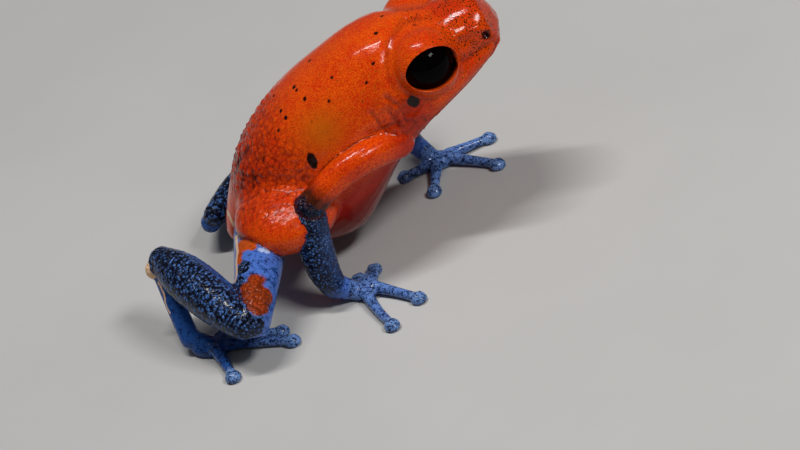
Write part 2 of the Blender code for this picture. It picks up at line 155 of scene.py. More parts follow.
# %% [markdown]
# ## Building the trunk and head
# The trunk is drawn as a potter pulls a tube. A filled circle is added at the rump, then it
# is extruded from section to section, and at each one it is turned square to the back's
# line and made as wide, as high over the line and as deep under it as the body is there. A
# ball stretched to length would give the same bulk, but not the flat head, the deep belly
# and the narrow rump.

# %% Draw a ring and carry it on
TINY = 1e-5   # an angle or a height that counts as none


def alone(thing=None):
    """Deselect everything, then select one object and make it active."""
    bpy.ops.object.select_all(action="DESELECT")
    if thing:
        thing.select_set(True)
        bpy.context.view_layer.objects.active = thing


def axes_matrix(first, second, third):
    """Three directions as the columns of a matrix."""
    return Matrix((tuple(first), tuple(second), tuple(third))).transposed()


def start_ring(name, centre, ahead, radius, sides):
    """Add a filled circle square to a direction, apply its place, and enter edit mode."""
    alone()
    across = unit(np.cross((0.0, 0.0, 1.0), ahead))
    turn = axes_matrix(across, np.cross(ahead, across), ahead).to_euler()
    bpy.ops.mesh.primitive_circle_add(vertices=sides, radius=radius, fill_type="NGON",
                                      location=tuple(centre), rotation=turn)
    ring = bpy.context.object
    ring.name = name
    bpy.ops.object.transform_apply(location=True, rotation=True, scale=True)
    bpy.ops.object.mode_set(mode="EDIT")
    bpy.ops.mesh.select_all(action="SELECT")
    return ring


def carry_on(old_centre, old_ahead, centre, ahead):
    """Extrude the selected end to a new centre and turn it to a new direction."""
    bpy.ops.mesh.extrude_region_move(
        TRANSFORM_OT_translate={"value": tuple(np.subtract(centre, old_centre))})
    turn = Vector(old_ahead).rotation_difference(Vector(ahead)).to_euler("XYZ")
    for axis, angle in zip("XYZ", turn):
        if abs(angle) > TINY:
            bpy.ops.transform.rotate(value=-angle, orient_axis=axis, orient_type="GLOBAL",
                                     center_override=tuple(centre))


def grow(factors, centre, directions):
    """Resize what is selected along three directions."""
    bpy.ops.transform.resize(value=tuple(factors), orient_type="GLOBAL",
                             orient_matrix=directions, orient_matrix_type="GLOBAL",
                             center_override=tuple(centre))


def close_form():
    """Turn the faces of the form outward and leave edit mode."""
    bpy.ops.mesh.select_all(action="SELECT")
    bpy.ops.mesh.normals_make_consistent(inside=False)
    bpy.ops.object.mode_set(mode="OBJECT")


# %% Pull the trunk from rump to snout
TRUNK_SIDES = 40
LEFT = np.array((0.0, 1.0, 0.0))
RUMP_ROWS = [0.8, 1.1]
BACK_ROWS = np.linspace(1.4, 17.8, 22)
SNOUT_END, SNOUT_ROUNDING = 19.95, 1.55
SNOUT_ANGLES = np.radians([0.0, 25.0, 45.0, 60.0, 75.0, 90.0])
# The rows crowd together towards the tip, where the snout rounds off
SNOUT_ROWS = SNOUT_END - SNOUT_ROUNDING * np.cos(SNOUT_ANGLES)
TRUNK_ROWS = np.concatenate([RUMP_ROWS, BACK_ROWS, SNOUT_ROWS])
TIP_SHRINK = 0.4   # draws in the last ring, so that the snout ends round
# Loose skin that bulges over each thigh: centre, then radii ahead, across and up
FLANK_FOLDS = [((4.95, -3.1, 4.6), (2.95, 3.3, 1.75)), ((5.3, 2.6, 4.7), (2.5, 3.0, 1.75))]


def pick_half(edit_mesh, corners, centre, up, sign):
    """Select the corners of the end ring above (1) or below (-1) the widest line."""
    for corner in edit_mesh.verts:
        corner.select = False
    for corner in corners:
        height = (np.array(corner.co) - centre) @ up
        corner.select = bool(sign * height > TINY)
    edit_mesh.select_flush(True)


def trunk():
    """The head and trunk as one closed form."""
    sizes = []
    for along in TRUNK_ROWS:
        top, bottom, wide, middle = section(along)
        centre, ahead, up = spine(along)
        sizes.append((centre + middle * up, ahead, up, wide, top - middle, middle - bottom))
    centre, ahead, up = sizes[0][:3]
    form = start_ring("trunk", centre, ahead, 1.0, TRUNK_SIDES)
    edit_mesh = bmesh.from_edit_mesh(form.data)
    for corner in edit_mesh.verts:
        place = np.array(corner.co) - centre
        side, rise = abs(place @ LEFT), abs(place @ up)
        boxy = (side ** SQUARENESS + rise ** SQUARENESS) ** (-1.0 / SQUARENESS)
        corner.co = Vector(centre + place * boxy)
    old = (centre, ahead, (1.0, 1.0, 1.0))
    for row, (centre, ahead, up, *size) in enumerate(sizes):
        if row:
            carry_on(old[0], old[1], centre, ahead)
        edit_mesh = bmesh.from_edit_mesh(form.data)
        corners = [corner for corner in edit_mesh.verts if corner.select]
        directions = axes_matrix(ahead, LEFT, up)
        grow((1.0, size[0] / old[2][0], 1.0), centre, directions)
        for sign, change in ((1, size[1] / old[2][1]), (-1, size[2] / old[2][2])):
            pick_half(edit_mesh, corners, centre, up, sign)
            grow((1.0, 1.0, change), centre, directions)
        for corner in corners:
            corner.select = True
        edit_mesh.select_flush(True)
        old = (centre, ahead, size)
    grow([TIP_SHRINK] * 3, centre, directions)
    close_form()
    return form


skin = trunk()
print("trunk:", len(skin.data.polygons), "faces, mm:", [round(v, 2) for v in skin.dimensions])

# %% [markdown]
# ## Limbs, hands and feet
# A frog's limb is a row of soft spindles that hardly narrow at the joints. Each length is
# drawn like the trunk, from a circle carried along its line and resized on the way, with
# both ends rounded. The lengths overlap at the joints, because all of them are melted into
# one skin later. Fingers and toes are thin tubes that end in flat pads, and each pad wears
# two small shields on top. Stretched balls are enough for the palms, the pads, the knob at
# the heel and the loose skin over the thighs.

# %% Keys of the limbs: x, y, z and radius
SHOULDER = tuple(on_body(11.4, 3.0, -1.0))
HIP = {-1: tuple(on_body(2.4, -1.5, -0.1)), 1: tuple(on_body(2.4, 1.5, 0.1))}
LIMBS = {
    "upper_arm_right": [(11.9, -3.1, 6.6, 0.95), (10.2, -4.15, 6.95, 0.88),
                        (8.5, -4.6, 6.65, 0.85), (6.4, -5.1, 5.75, 0.78)],
    "forearm_right": [(6.4, -5.1, 5.75, 0.8), (6.0, -5.75, 3.6, 0.95), (6.0, -6.2, 2.2, 0.88),
                      (6.2, -6.27, 1.2, 0.72)],
    "wrist_right": [(6.2, -6.27, 1.2, 0.7), (6.9, -6.25, 0.65, 0.58)],
    "upper_arm_left": [(*SHOULDER, 1.15), (11.0, 5.0, 6.0, 0.95), (11.0, 6.6, 5.3, 0.78)],
    "forearm_left": [(11.0, 6.6, 5.3, 0.8), (11.5, 6.0, 3.6, 0.92), (12.2, 5.0, 1.5, 0.62)],
    "wrist_left": [(12.2, 5.0, 1.5, 0.6), (12.8, 4.5, 0.7, 0.55)],
    "thigh_right": [(*HIP[-1], 1.4), (2.8, -5.4, 3.6, 1.35), (1.85, -9.4, 2.75, 1.0)],
    "shank_right": [(1.25, -9.55, 2.8, 0.9), (0.1, -7.6, 3.45, 1.27), (-1.3, -5.1, 4.05, 1.25),
                    (-2.25, -3.4, 4.35, 0.8)],
    "tarsus_right": [(-2.5, -3.2, 3.7, 0.62), (-2.35, -4.8, 2.3, 0.55), (-2.1, -6.2, 0.8, 0.58)],
    "ankle_right": [(-2.1, -6.2, 0.8, 0.55), (-1.3, -6.7, 0.5, 0.5)],
    "thigh_left": [(*HIP[1], 1.4), (5.3, 4.8, 3.9, 1.4), (7.1, 8.4, 3.2, 1.05)],
    "shank_left": [(6.3, 9.0, 2.5, 1.0), (4.3, 7.2, 2.3, 1.1), (2.0, 5.0, 2.2, 0.95),
                   (0.5, 3.1, 2.2, 0.66)],
    "tarsus_left": [(0.1, 3.2, 1.75, 0.58), (0.4, 5.2, 1.15, 0.55), (1.4, 6.9, 0.8, 0.58)],
    "ankle_left": [(1.4, 6.9, 0.8, 0.55), (2.2, 7.5, 0.5, 0.5)],
}

# %% Palms and soles, and the bends of their digits
# Middle, radii and heading of each palm and sole
PALMS = {
    "hand_right": ((7.6, -6.2, 0.3), (0.95, 0.78, 0.5), (1.0, -0.4, 0.0)),
    "hand_left": ((13.2, 4.2, 0.3), (1.05, 0.75, 0.5), (1.0, -0.15, 0.0)),
    "foot_right": ((-1.0, -6.9, 0.28), (1.3, 0.7, 0.5), (1.0, -0.35, 0.0)),
    "foot_left": ((2.5, 7.6, 0.28), (1.3, 0.7, 0.5), (1.0, 0.35, 0.0)),
}
# Root, bend and tip of each digit, seen from above
DIGITS = {
    "hand_right": [((7.5, -5.8), (7.55, -5.4), (7.45, -4.95)),
                   ((7.9, -5.9), (8.3, -5.3), (8.4, -4.5)),
                   ((8.2, -6.4), (9.2, -7.35), (10.4, -8.6)),
                   ((7.7, -6.8), (8.1, -8.5), (8.7, -10.3))],
    "hand_left": [((12.8, 4.0), (12.0, 3.8), (11.2, 3.8)), ((13.1, 3.6), (12.85, 2.4), (12.6, 1.3)),
                  ((13.9, 3.9), (15.2, 2.9), (16.4, 1.9)), ((13.9, 4.3), (15.1, 4.6), (16.3, 4.9))],
    "foot_right": [((-0.6, -6.4), (-0.1, -5.8), (0.4, -5.4)),
                   ((-0.3, -6.7), (0.8, -6.3), (1.7, -6.2)),
                   ((0.0, -7.0), (1.4, -7.2), (2.8, -7.5)),
                   ((0.0, -7.3), (1.7, -8.0), (3.3, -8.7)),
                   ((-0.9, -7.4), (-0.5, -8.9), (-0.2, -10.2))],
    "foot_left": [((2.9, 7.1), (3.4, 6.5), (3.9, 6.2)), ((3.2, 7.4), (4.3, 7.0), (5.2, 6.9)),
                  ((3.5, 7.7), (4.9, 7.9), (6.3, 8.1)), ((3.5, 8.0), (5.3, 8.7), (7.0, 9.5)),
                  ((2.8, 8.2), (3.6, 9.4), (4.2, 10.6))],
}
# The knob that shows at the right heel: its middle, then its radii ahead, across and up
HEEL_KNOB = (-3.05, -3.65, 4.1), (0.3, 0.3, 0.5)
DIGIT_LEVELS = (0.42, 0.33, 0.25)   # middle of a digit over the floor: root, bend, tip
DIGIT_RADII = (0.38, 0.29, 0.27)
DISC_RADII = (0.5, 0.47, 0.31)      # of the pad at a digit's end
DISC_LEVEL = 0.2
SHIELD_RADII = (0.27, 0.17, 0.17)
SHIELD_AHEAD, SHIELD_ACROSS, SHIELD_UP = 0.02, 0.17, 0.2   # from the pad's middle
AHEAD = (1.0, 0.0, 0.0)
print("limb lengths:", len(LIMBS), "digits:", sum(map(len, DIGITS.values())))


# %% Pull one limb
END_ANGLES = np.radians((25.0, 50.0, 75.0))   # of the rings that round off an end


def tube(name, keys, rows, sides):
    """A tube along keys of x, y, z and radius, with both ends rounded."""
    path = smooth_keys(keys, rows)
    centres, radii = path[:, :3], path[:, 3]
    ahead = [unit(centres[min(i + 1, rows - 1)] - centres[max(i - 1, 0)]) for i in range(rows)]
    stations = []
    for angle in END_ANGLES[::-1]:
        stations.append((centres[0] - ahead[0] * radii[0] * math.sin(angle),
                         radii[0] * math.cos(angle), ahead[0]))
    stations += zip(centres, radii, ahead)
    for angle in END_ANGLES:
        stations.append((centres[-1] + ahead[-1] * radii[-1] * math.sin(angle),
                         radii[-1] * math.cos(angle), ahead[-1]))
    old = stations[0]
    form = start_ring(name, old[0], old[2], old[1], sides)
    for station in stations[1:]:
        carry_on(old[0], old[2], station[0], station[2])
        grow([station[1] / old[1]] * 3, station[0], Matrix.Identity(3))
        old = station
    close_form()
    return form


def ball(name, centre, radii, ahead, up=(0.0, 0.0, 1.0), segments=24, rings=14):
    """A stretched ball whose three radii lie ahead, across and up."""
    alone()
    ahead = unit(ahead)
    across = unit(np.cross(up, ahead))
    turn = axes_matrix(ahead, across, np.cross(ahead, across)).to_euler()
    bpy.ops.mesh.primitive_uv_sphere_add(segments=segments, ring_count=rings, radius=1.0,
                                         location=tuple(centre), rotation=turn)
    form = bpy.context.object
    form.name = name
    form.scale = radii
    bpy.ops.object.transform_apply(location=True, rotation=True, scale=True)
    return form


# %% Put the limbs together
def digit_keys(digit):
    """Keys of x, y, z and radius of a digit from its root, bend and tip."""
    return [(*place, level, radius)
            for place, level, radius in zip(digit, DIGIT_LEVELS, DIGIT_RADII)]


def paw(name):
    """A palm or sole with its digits, their pads and the two shields on each pad."""
    forms = [ball(name, *PALMS[name])]
    for digit in DIGITS[name]:
        forms.append(tube("digit", digit_keys(digit), rows=6, sides=12))
        _, bend, tip = digit
        ahead = unit((tip[0] - bend[0], tip[1] - bend[1], 0.0))
        across = np.array((-ahead[1], ahead[0], 0.0))
        pad = np.array((*tip, DISC_LEVEL))
        forms.append(ball("pad", pad, DISC_RADII, ahead, segments=16, rings=10))
        for side in (-1, 1):
            shield = (pad + SHIELD_ACROSS * side * across + SHIELD_AHEAD * ahead
                      + np.array((0.0, 0.0, SHIELD_UP)))
            forms.append(ball("shield", shield, SHIELD_RADII, ahead, segments=12, rings=8))
    return forms


forms = [tube(name, keys, rows=10, sides=20) for name, keys in LIMBS.items()]
for name in PALMS:
    forms += paw(name)
forms.append(ball("heel", *HEEL_KNOB, AHEAD))
forms += [ball("flank", centre, radii, AHEAD, segments=40, rings=24)
          for centre, radii in FLANK_FOLDS]
print("limb forms:", len(forms))

# %% [markdown]
# ## Eyes that swell the head
# A frog's eye is a ball nearly a third as wide as its head. It can't hide in the skull, so
# the lids stand out as a dome. The dome is a stretched ball that melts into the head, and
# the eye itself comes later, in a socket cut through it. The long way of the eye points at
# the nostril.

# %% Places of the eyes, nostrils and eardrums
EYE_RADIUS = 1.52
EYE_ALONG, EYE_OUT, EYE_UP = 15.85, 2.3, 1.68
EYE_OPENING = (1.52, 1.14)              # half length and half height
LOOK_AHEAD, LOOK_UP = 0.28, 0.10        # how far an eye turns ahead and up from sideways
LID_RADII = (1.95, 1.92, 1.86)
NOSTRIL_ALONG, NOSTRIL_UP = 19.22, 1.0
EAR_ALONG, EAR_UP, EAR_RADIUS = 14.0, 0.6, 0.6


def on_skin(along, up, side):
    """Place on the trunk's skin at a distance along the back and up from it."""
    return on_body(along, side * half_width(along, up), up)


def nostril_place(side):
    """Middle of a nostril on the skin."""
    return on_skin(NOSTRIL_ALONG, NOSTRIL_UP, side)


def eye_place(side):
    """Centre, look direction and long direction of an eye; side is 1 on the left."""
    centre = on_body(EYE_ALONG, side * EYE_OUT, EYE_UP)
    _, forward, up = spine(EYE_ALONG)
    look = unit(np.array([0.0, side, 0.0]) + LOOK_AHEAD * forward + LOOK_UP * up)
    return centre, look, nostril_place(side) - centre


for side in (-1, 1):
    centre, look, long_way = eye_place(side)
    forms.append(ball("lid", centre, LID_RADII, long_way, look, segments=32, rings=20))
    print("eye", side, "centre, mm:", centre.round(2), "looks:", look.round(2))

# %% [markdown]
# ## Melting the forms into one skin
# The forms are joined and remeshed on a fine grid, which throws away everything inside and
# leaves one closed skin. Smoothing then takes off the grid's steps. A plain smooth shrinks
# thin fingers, so each smoothing step is followed by one of opposite sign, which swells
# them back. A Boolean union would keep hard creases at every limb; on a frog they are soft.

# %% Join, remesh and smooth
VOXEL = 0.122                 # side of a cell of the grid
SMOOTH_ROUNDS = 5
SHRINK, SWELL = 0.5, -0.51    # smoothing factors of the two steps of a round


def apply_modifier(thing, kind, **settings):
    """Add a modifier to an object, set it up and apply it."""
    alone(thing)
    modifier = thing.modifiers.new(kind.lower(), kind)
    for name, value in settings.items():
        setattr(modifier, name, value)
    bpy.ops.object.modifier_apply(modifier=modifier.name)


alone(skin)
for form in forms:
    form.select_set(True)
bpy.ops.object.join()
skin.name = "skin"
apply_modifier(skin, "REMESH", mode="VOXEL", voxel_size=VOXEL, adaptivity=0.0)
for _ in range(SMOOTH_ROUNDS):
    for factor in (SHRINK, SWELL):
        apply_modifier(skin, "SMOOTH", factor=factor, iterations=1)
print("skin after the remesh:", len(skin.data.vertices), "corners")

# %% [markdown]
# ## Cutting the sockets
# The eye sits in a round hollow behind an almond opening. Both are cut with Boolean
# modifiers, first the opening and then the hollow, so that the lids are left as a thin rim
# over the eyeball. The opening's cutter flares at its mouth, which rounds the lid's edge.

# %% Cut the openings and the hollows
SOCKET_GAP = 0.04
PLUG_START = 0.6              # from the eye's middle, so the plug begins inside the hollow
# Distance of each further ring from the eye's middle, and its widening
PLUG_RINGS = ((1.25, 1.0), (1.5, 1.03), (1.7, 1.05), (2.6, 1.3))


def opening_cutter(side):
    """A flared plug along the look direction, as wide and high as the opening."""
    centre, look, long_way = eye_place(side)
    long_way = unit(long_way - look * (long_way @ look))
    directions = axes_matrix(long_way, np.cross(look, long_way), look)
    start = centre + look * PLUG_START
    plug = start_ring("opening", start, look, 1.0, 48)
    grow((EYE_OPENING[0], EYE_OPENING[1], 1.0), start, directions)
    old = start
    for reach, flare in PLUG_RINGS:
        spot = centre + look * reach
        carry_on(old, look, spot, look)
        grow((flare, flare, 1.0), spot, directions)
        old = spot
    close_form()
    return plug


for side in (-1, 1):
    hollow = EYE_RADIUS + SOCKET_GAP
    centre, look, long_way = eye_place(side)
    for cutter in (opening_cutter(side),
                   ball("hollow", centre, (hollow,) * 3, long_way, look,
                        segments=64, rings=40)):
        apply_modifier(skin, "BOOLEAN", object=cutter, operation="DIFFERENCE",
                       solver="MANIFOLD")
        bpy.data.objects.remove(cutter)
print("skin with sockets:", len(skin.data.vertices), "corners")

# %% [markdown]
# ## Reading where the skin is
# The next steps push and colour the skin by region, so each corner needs to know what it is
# part of: how far along the back, and how far off each limb. These measures are arrays
# with one number per corner. Painting by hand would do the same with a brush.

# %% Read and move corners
def corners_of(thing):
    """Places of an object's corners, one row each."""
    values = np.empty(len(thing.data.vertices) * 3)
    thing.data.vertices.foreach_get("co", values)
    return values.reshape(-1, 3)


def outward_of(thing):
    """Outward directions at an object's corners."""
    values = np.empty(len(thing.data.vertices) * 3)
    thing.data.vertex_normals.foreach_get("vector", values)
    return values.reshape(-1, 3)


def place_corners(thing, places):
    """Move an object's corners."""
    thing.data.vertices.foreach_set("co", np.asarray(places, float).ravel())
    thing.data.update()


# %% Measures off the body
LINE_ALONG = np.linspace(-0.5, 20.5, 421)
LINE = [spine(along) for along in LINE_ALONG]
BATCH = 20000        # corners that are measured at once, to spare memory
BODY_END = 20.05     # along the back, just past the snout


def body_coordinates(places):
    """Along, out and up of each place."""
    centres = np.array([row[0] for row in LINE])
    ahead = np.array([row[1] for row in LINE])
    up = np.array([row[2] for row in LINE])
    nearest = np.empty(len(places), int)
    for first in range(0, len(places), BATCH):
        part = places[first:first + BATCH, None, ::2] - centres[None, :, ::2]
        nearest[first:first + BATCH] = (part ** 2).sum(axis=2).argmin(axis=1)
    away = places - centres[nearest]
    along = LINE_ALONG[nearest] + (away * ahead[nearest]).sum(axis=1)
    return along, places[:, 1], (away * up[nearest]).sum(axis=1)


def body_distance(along, out, up):
    """Roughly how far each place stands off the trunk's skin."""
    top, bottom, wide, middle = section(along)
    reach = np.where(up > middle, top - middle, middle - bottom)
    share = ((np.abs(out) / wide) ** SQUARENESS
             + (np.abs(up - middle) / reach) ** SQUARENESS) ** (1.0 / SQUARENESS)
    return (share - 1.0) * np.minimum(wide, reach) + np.maximum(along - BODY_END, 0.0)


def flank_distance(places):
    """Roughly how far each place stands off the loose skin over the thighs."""
    return np.min([(np.linalg.norm((places - centre) / radii, axis=1) - 1.0) * min(radii)
                   for centre, radii in FLANK_FOLDS], axis=0)


# %% Measures off lines and points
FAR = 1e9            # further off than any corner


def off_line(places, keys, rows=40):
    """Distance of each place off a tube through keys of x, y, z and radius."""
    best = np.full(len(places), FAR)
    for x, y, z, radius in smooth_keys(keys, rows):
        gap = np.sqrt(((places - (x, y, z)) ** 2).sum(axis=1)) - radius
        best = np.minimum(best, gap)
    return best


def off_thread(places, points, rows=60):
    """Distance of each place off a thin thread through points."""
    return off_line(places, [(*point, 0.0) for point in points], rows)


def off_point(places, point):
    """Distance of each place from a point."""
    return np.sqrt(((places - np.asarray(point)) ** 2).sum(axis=1))


def ease(value, low, high):
    """Zero below low, one above high, and smooth between."""
    share = np.clip((value - low) / (high - low), 0.0, 1.0)
    return share * share * (3.0 - 2.0 * share)


def fade(value, low, high):
    """One below low, zero above high, and smooth between."""
    return ease(-value, -high, -low)


def bell(distance, width):
    """One at no distance, falling off over a width."""
    return np.exp(-(distance / width) ** 2)


# %% [markdown]
# ## Softening the flank
# The loose skin over the thigh rolls down from the back in one slope. Where its ball leaves
# the trunk, though, the two forms meet in a ledge. A vertex group says how much each corner
# there takes part, and a Smooth modifier works on that group alone. Smoothing the whole
# skin as strongly would melt the fingers and the lids.

# %% Smooth the ledge where the folds leave the trunk
LEDGE_WIDTH = 0.9
TRACE = 0.02         # a weight that is too small to count


def weigh_corners(name, weights):
    """Make a vertex group that holds each corner by its weight."""
    group = skin.vertex_groups.new(name=name)
    for corner in np.flatnonzero(weights > TRACE):
        group.add([int(corner)], float(weights[corner]), "REPLACE")


places = corners_of(skin)
along, out, up = body_coordinates(places)
ledge = bell(body_distance(along, out, up) - flank_distance(places), LEDGE_WIDTH)
ledge = ledge * ease(places[:, 2], 4.7, 5.3) * fade(along, 10.0, 12.0)
weigh_corners("ledge", ledge)
apply_modifier(skin, "SMOOTH", factor=0.6, iterations=60, vertex_group="ledge")
print("corners of the ledge:", int((ledge > TRACE).sum()))

# %% Measure the skin that will be worked
PALM_REACH = 0.85
DISC_MIDDLE = 0.3    # height over the floor from which the pads are measured

places, outward = corners_of(skin), outward_of(skin)
along, out, up = body_coordinates(places)
off_body = np.minimum(body_distance(along, out, up), flank_distance(places))
OFF = {name: off_line(places, keys) for name, keys in LIMBS.items()}


def least(*starts):
    """Least distance off the limb lengths whose names start so."""
    return np.min([OFF[name] for name in LIMBS if name.startswith(starts)], axis=0)


to_disc = np.full(len(places), FAR)
off_paw = np.full(len(places), FAR)
for name, palm in PALMS.items():
    off_paw = np.minimum(off_paw, off_point(places, palm[0]) - PALM_REACH)
    for digit in DIGITS[name]:
        off_paw = np.minimum(off_paw, off_line(places, digit_keys(digit), rows=12))
        to_disc = np.minimum(to_disc, off_point(places, (*digit[2], DISC_MIDDLE)))
print("measured corners:", len(places), "on the body:", int((off_body < 0.1).sum()))

# %% [markdown]
# ## Working the skin like clay
# Now the face gets its lines. The mouth runs under the cheek as a thin cut between two
# soft lips, a fold circles behind and over each eye, a shallow hollow and above it a soft
# ridge run from eye to nostril, the nostrils are pricked in, and a thin drum is stretched
# behind the jaw. The moves are small pushes along the skin's own outward direction, as a
# modelling tool would make them. Where a line is pressed in, a painted shade for its
# groove is kept for the finish.

# %% Places and depths of the face's lines
MOUTH_CORNER = 13.9                # along the back
MOUTH_ANGLE = math.radians(33.75)  # under the widest line of the head
# Along the back and up, on both sides of the head
HOLLOW = [(17.2, 0.85), (17.7, 0.62), (18.3, 0.6), (18.9, 0.5), (19.4, 0.35)]
BRIDGE = [(17.3, 2.3), (17.8, 1.98), (18.45, 1.8), (19.0, 1.6)]
LIP_RIDGE = [(15.2, -0.2), (16.5, -0.15), (17.7, -0.05), (18.9, -0.15)]
WRINKLES = [[(12.95, 1.3), (12.85, 0.4), (12.6, -0.7)], [(12.2, 1.7), (12.1, 0.7), (12.2, 0.1)],
            [(11.4, 1.0), (12.2, 0.6), (12.9, 0.35)], [(13.3, 1.9), (13.5, 1.0), (13.3, 0.1)]]
LID_FOLD_RADIUS = 2.22             # about the eye's look direction
LID_FOLD_END = 0.4                 # out from the middle of the head
RIM_RADIUS = 0.3                   # of the swelling round a nostril
DRUM_INSET = 0.1                   # of the drum's dark line from its ring
EAR_SHADOW = (12.98, 3.3, 9.07)    # a dark corner behind the drum, as x, y and z on the left
# How high a line is raised, or less than nothing where it is pressed in, and its width
LIP_SWELL, MOUTH_CUT, LID_FOLD = (0.1, 0.42), (-0.3, 0.13), (-0.12, 0.27)
HOLLOW_DIP, LIP_RISE, BRIDGE_RISE = (-0.13, 0.22), (0.09, 0.3), (0.15, 0.27)
WRINKLE_DIP, NOSTRIL_RIM, NOSTRIL_PIT = (-0.1, 0.13), (0.05, 0.14), (-0.3, 0.17)
DRUM_RING, DRUM_DIP = (0.07, 0.13), (-0.08, 0.42)
# How dark the painted shade in a line gets, and its width
MOUTH_DARK, LID_DARK, HOLLOW_DARK = (1.0, 0.16), (0.42, 0.24), (0.42, 0.17)
WRINKLE_DARK, NOSTRIL_DARK = (0.5, 0.11), (1.8, 0.24)
DRUM_DARK, SHADOW_DARK = (0.15, 0.12), (0.6, 0.4)
# How red the skin round the drum gets, and how far
DRUM_RED = (1.0, 0.8)


def stroke(distance, height, width, share=1.0):
    """Height of a line at each distance off its middle; share thins it out."""
    return height * share * bell(distance, width)


def mouth_point(along, side):
    """A point of the mouth line."""
    _, bottom, wide, middle = section(along)
    across = math.cos(MOUTH_ANGLE) ** (2.0 / SQUARENESS)
    drop = math.sin(MOUTH_ANGLE) ** (2.0 / SQUARENESS)
    return on_body(along, side * across * wide, middle - (middle - bottom) * drop)


def side_thread(points, side, rows=60):
    """Distance off a thread given along the back and up, on one side."""
    return off_thread(places, [on_skin(*point, side) for point in points], rows)


print("lines on each side:", len(WRINKLES) + 3, "wrinkles, hollows and ridges")

# %% Press in the face's lines
rows = list(np.linspace(MOUTH_CORNER, SNOUT_TIP[0], 30))
mouth = [mouth_point(row, -1) for row in rows] + [mouth_point(row, 1) for row in rows[::-1]]
to_mouth = off_thread(places, mouth, rows=240)
mouth_fade = ease(along, MOUTH_CORNER, MOUTH_CORNER + 0.8)
move = mouth_fade * (stroke(to_mouth, *LIP_SWELL) + stroke(to_mouth, *MOUTH_CUT))
# The mouth's cut gets a painted shade; the lines round eyes, nose and drum add theirs below
fold = stroke(to_mouth, *MOUTH_DARK, mouth_fade)
drum_red = np.zeros(len(places))
for side in (-1, 1):
    centre, look, long_way = eye_place(side)
    away = places - centre
    from_axis = np.sqrt(np.maximum((away ** 2).sum(axis=1) - (away @ look) ** 2, 0.0))
    arc = ease(up - EYE_UP, -0.9, 0.6) * fade(along, 16.5, 17.4) * (out * side > LID_FOLD_END)
    to_fold = from_axis - LID_FOLD_RADIUS
    move += stroke(to_fold, *LID_FOLD, arc)
    to_hollow = side_thread(HOLLOW, side)
    move += stroke(to_hollow, *HOLLOW_DIP)
    move += stroke(side_thread(LIP_RIDGE, side, rows=120), *LIP_RISE)
    move += stroke(side_thread(BRIDGE, side), *BRIDGE_RISE)
    to_wrinkles = [side_thread(wrinkle, side) for wrinkle in WRINKLES]
    for to_wrinkle in to_wrinkles:
        move += stroke(to_wrinkle, *WRINKLE_DIP)
    to_nose = off_point(places, nostril_place(side))
    move += stroke(to_nose - RIM_RADIUS, *NOSTRIL_RIM) + stroke(to_nose, *NOSTRIL_PIT)
    to_drum = off_point(places, on_skin(EAR_ALONG, EAR_UP, side))
    move += stroke(to_drum - EAR_RADIUS, *DRUM_RING) + stroke(to_drum, *DRUM_DIP)
    x, y, z = EAR_SHADOW
    # Painted shade in the lid fold, the hollow, the nostril's pit, the drum's ring, the corner
    # behind the drum and the wrinkles
    darks = [stroke(to_fold, *LID_DARK, arc), stroke(to_hollow, *HOLLOW_DARK),
             stroke(to_nose, *NOSTRIL_DARK),
             stroke(to_drum - EAR_RADIUS + DRUM_INSET, *DRUM_DARK),
             stroke(off_point(places, (x, side * y, z)), *SHADOW_DARK)]
    darks += [stroke(to_wrinkle, *WRINKLE_DARK) for to_wrinkle in to_wrinkles]
    fold = np.max([fold, *darks], axis=0)
    drum_red = np.maximum(drum_red, stroke(to_drum, *DRUM_RED))
print("deepest line, mm:", round(float(-move.min()), 2))

# %% [markdown]
# ## Creases where two forms meet
# Skin folds in where the arm and the thigh press on the trunk and where thigh and shank lie
# against each other. The line is where a corner is as far off one form as off the other,
# so it comes from the measures and isn't drawn. It fades out in front of the shoulder and
# at the knee, where the skin is stretched.

# %% Press in the creases
CREASE_WIDTH, CREASE_DEPTH, CREASE_DARK = 0.09, 0.13, 0.8


def crease(first, second):
    """One along the line where two forms meet on the skin."""
    return bell(first - second, CREASE_WIDTH) * fade(np.maximum(first, second), 0.2, 0.5)


arm_fade = fade(along, 11.2, 12.4)
knee_fade = fade(np.abs(places[:, 1]), 8.5, 9.4)
creases = np.max([crease(off_body, least("upper_arm")) * arm_fade,
                  crease(off_body, least("thigh")),
                  knee_fade * crease(least("thigh"), least("shank"))], axis=0)
move -= CREASE_DEPTH * creases
# The creases get painted shade as well
fold = np.maximum(fold, CREASE_DARK * creases)
places = places + move[:, None] * outward
places[:, 2] = np.maximum(places[:, 2], 0.0)
place_corners(skin, places)
print("corners in a crease:", int((creases > 0.5).sum()))

# %% [markdown]
# ## Raising the granules
# The rear of this frog is not smooth but set with granules like orange peel. Cheek and neck
# carry lower ones, and the dark limbs finer ones. They are pushed up by a Displace modifier
# that reads a cell texture, and a vertex group says where they stand. How far each corner
# was moved is kept too, so that the finish can paint shade into the crevices between the
# granules. A bump in the finish alone would leave the outline bare.

# %% Push up the granules
CHEEK_SHARE = 0.6    # height of the granules on cheek and neck against those of the rear


def raise_granules(name, size, height, weights):
    """Displace part of the skin by cells of a size; returns how far each corner rose."""
    weigh_corners(name, weights)
    cells = bpy.data.textures.new(name, "VORONOI")
    cells.noise_scale = size
    cells.weight_1, cells.weight_2 = -1.0, 1.0
    cells.noise_intensity = 3.0
    before, outward = corners_of(skin), outward_of(skin)
    apply_modifier(skin, "DISPLACE", texture=cells, texture_coords="LOCAL", mid_level=0.3,
                   strength=height, vertex_group=name)
    return ((corners_of(skin) - before) * outward).sum(axis=1)


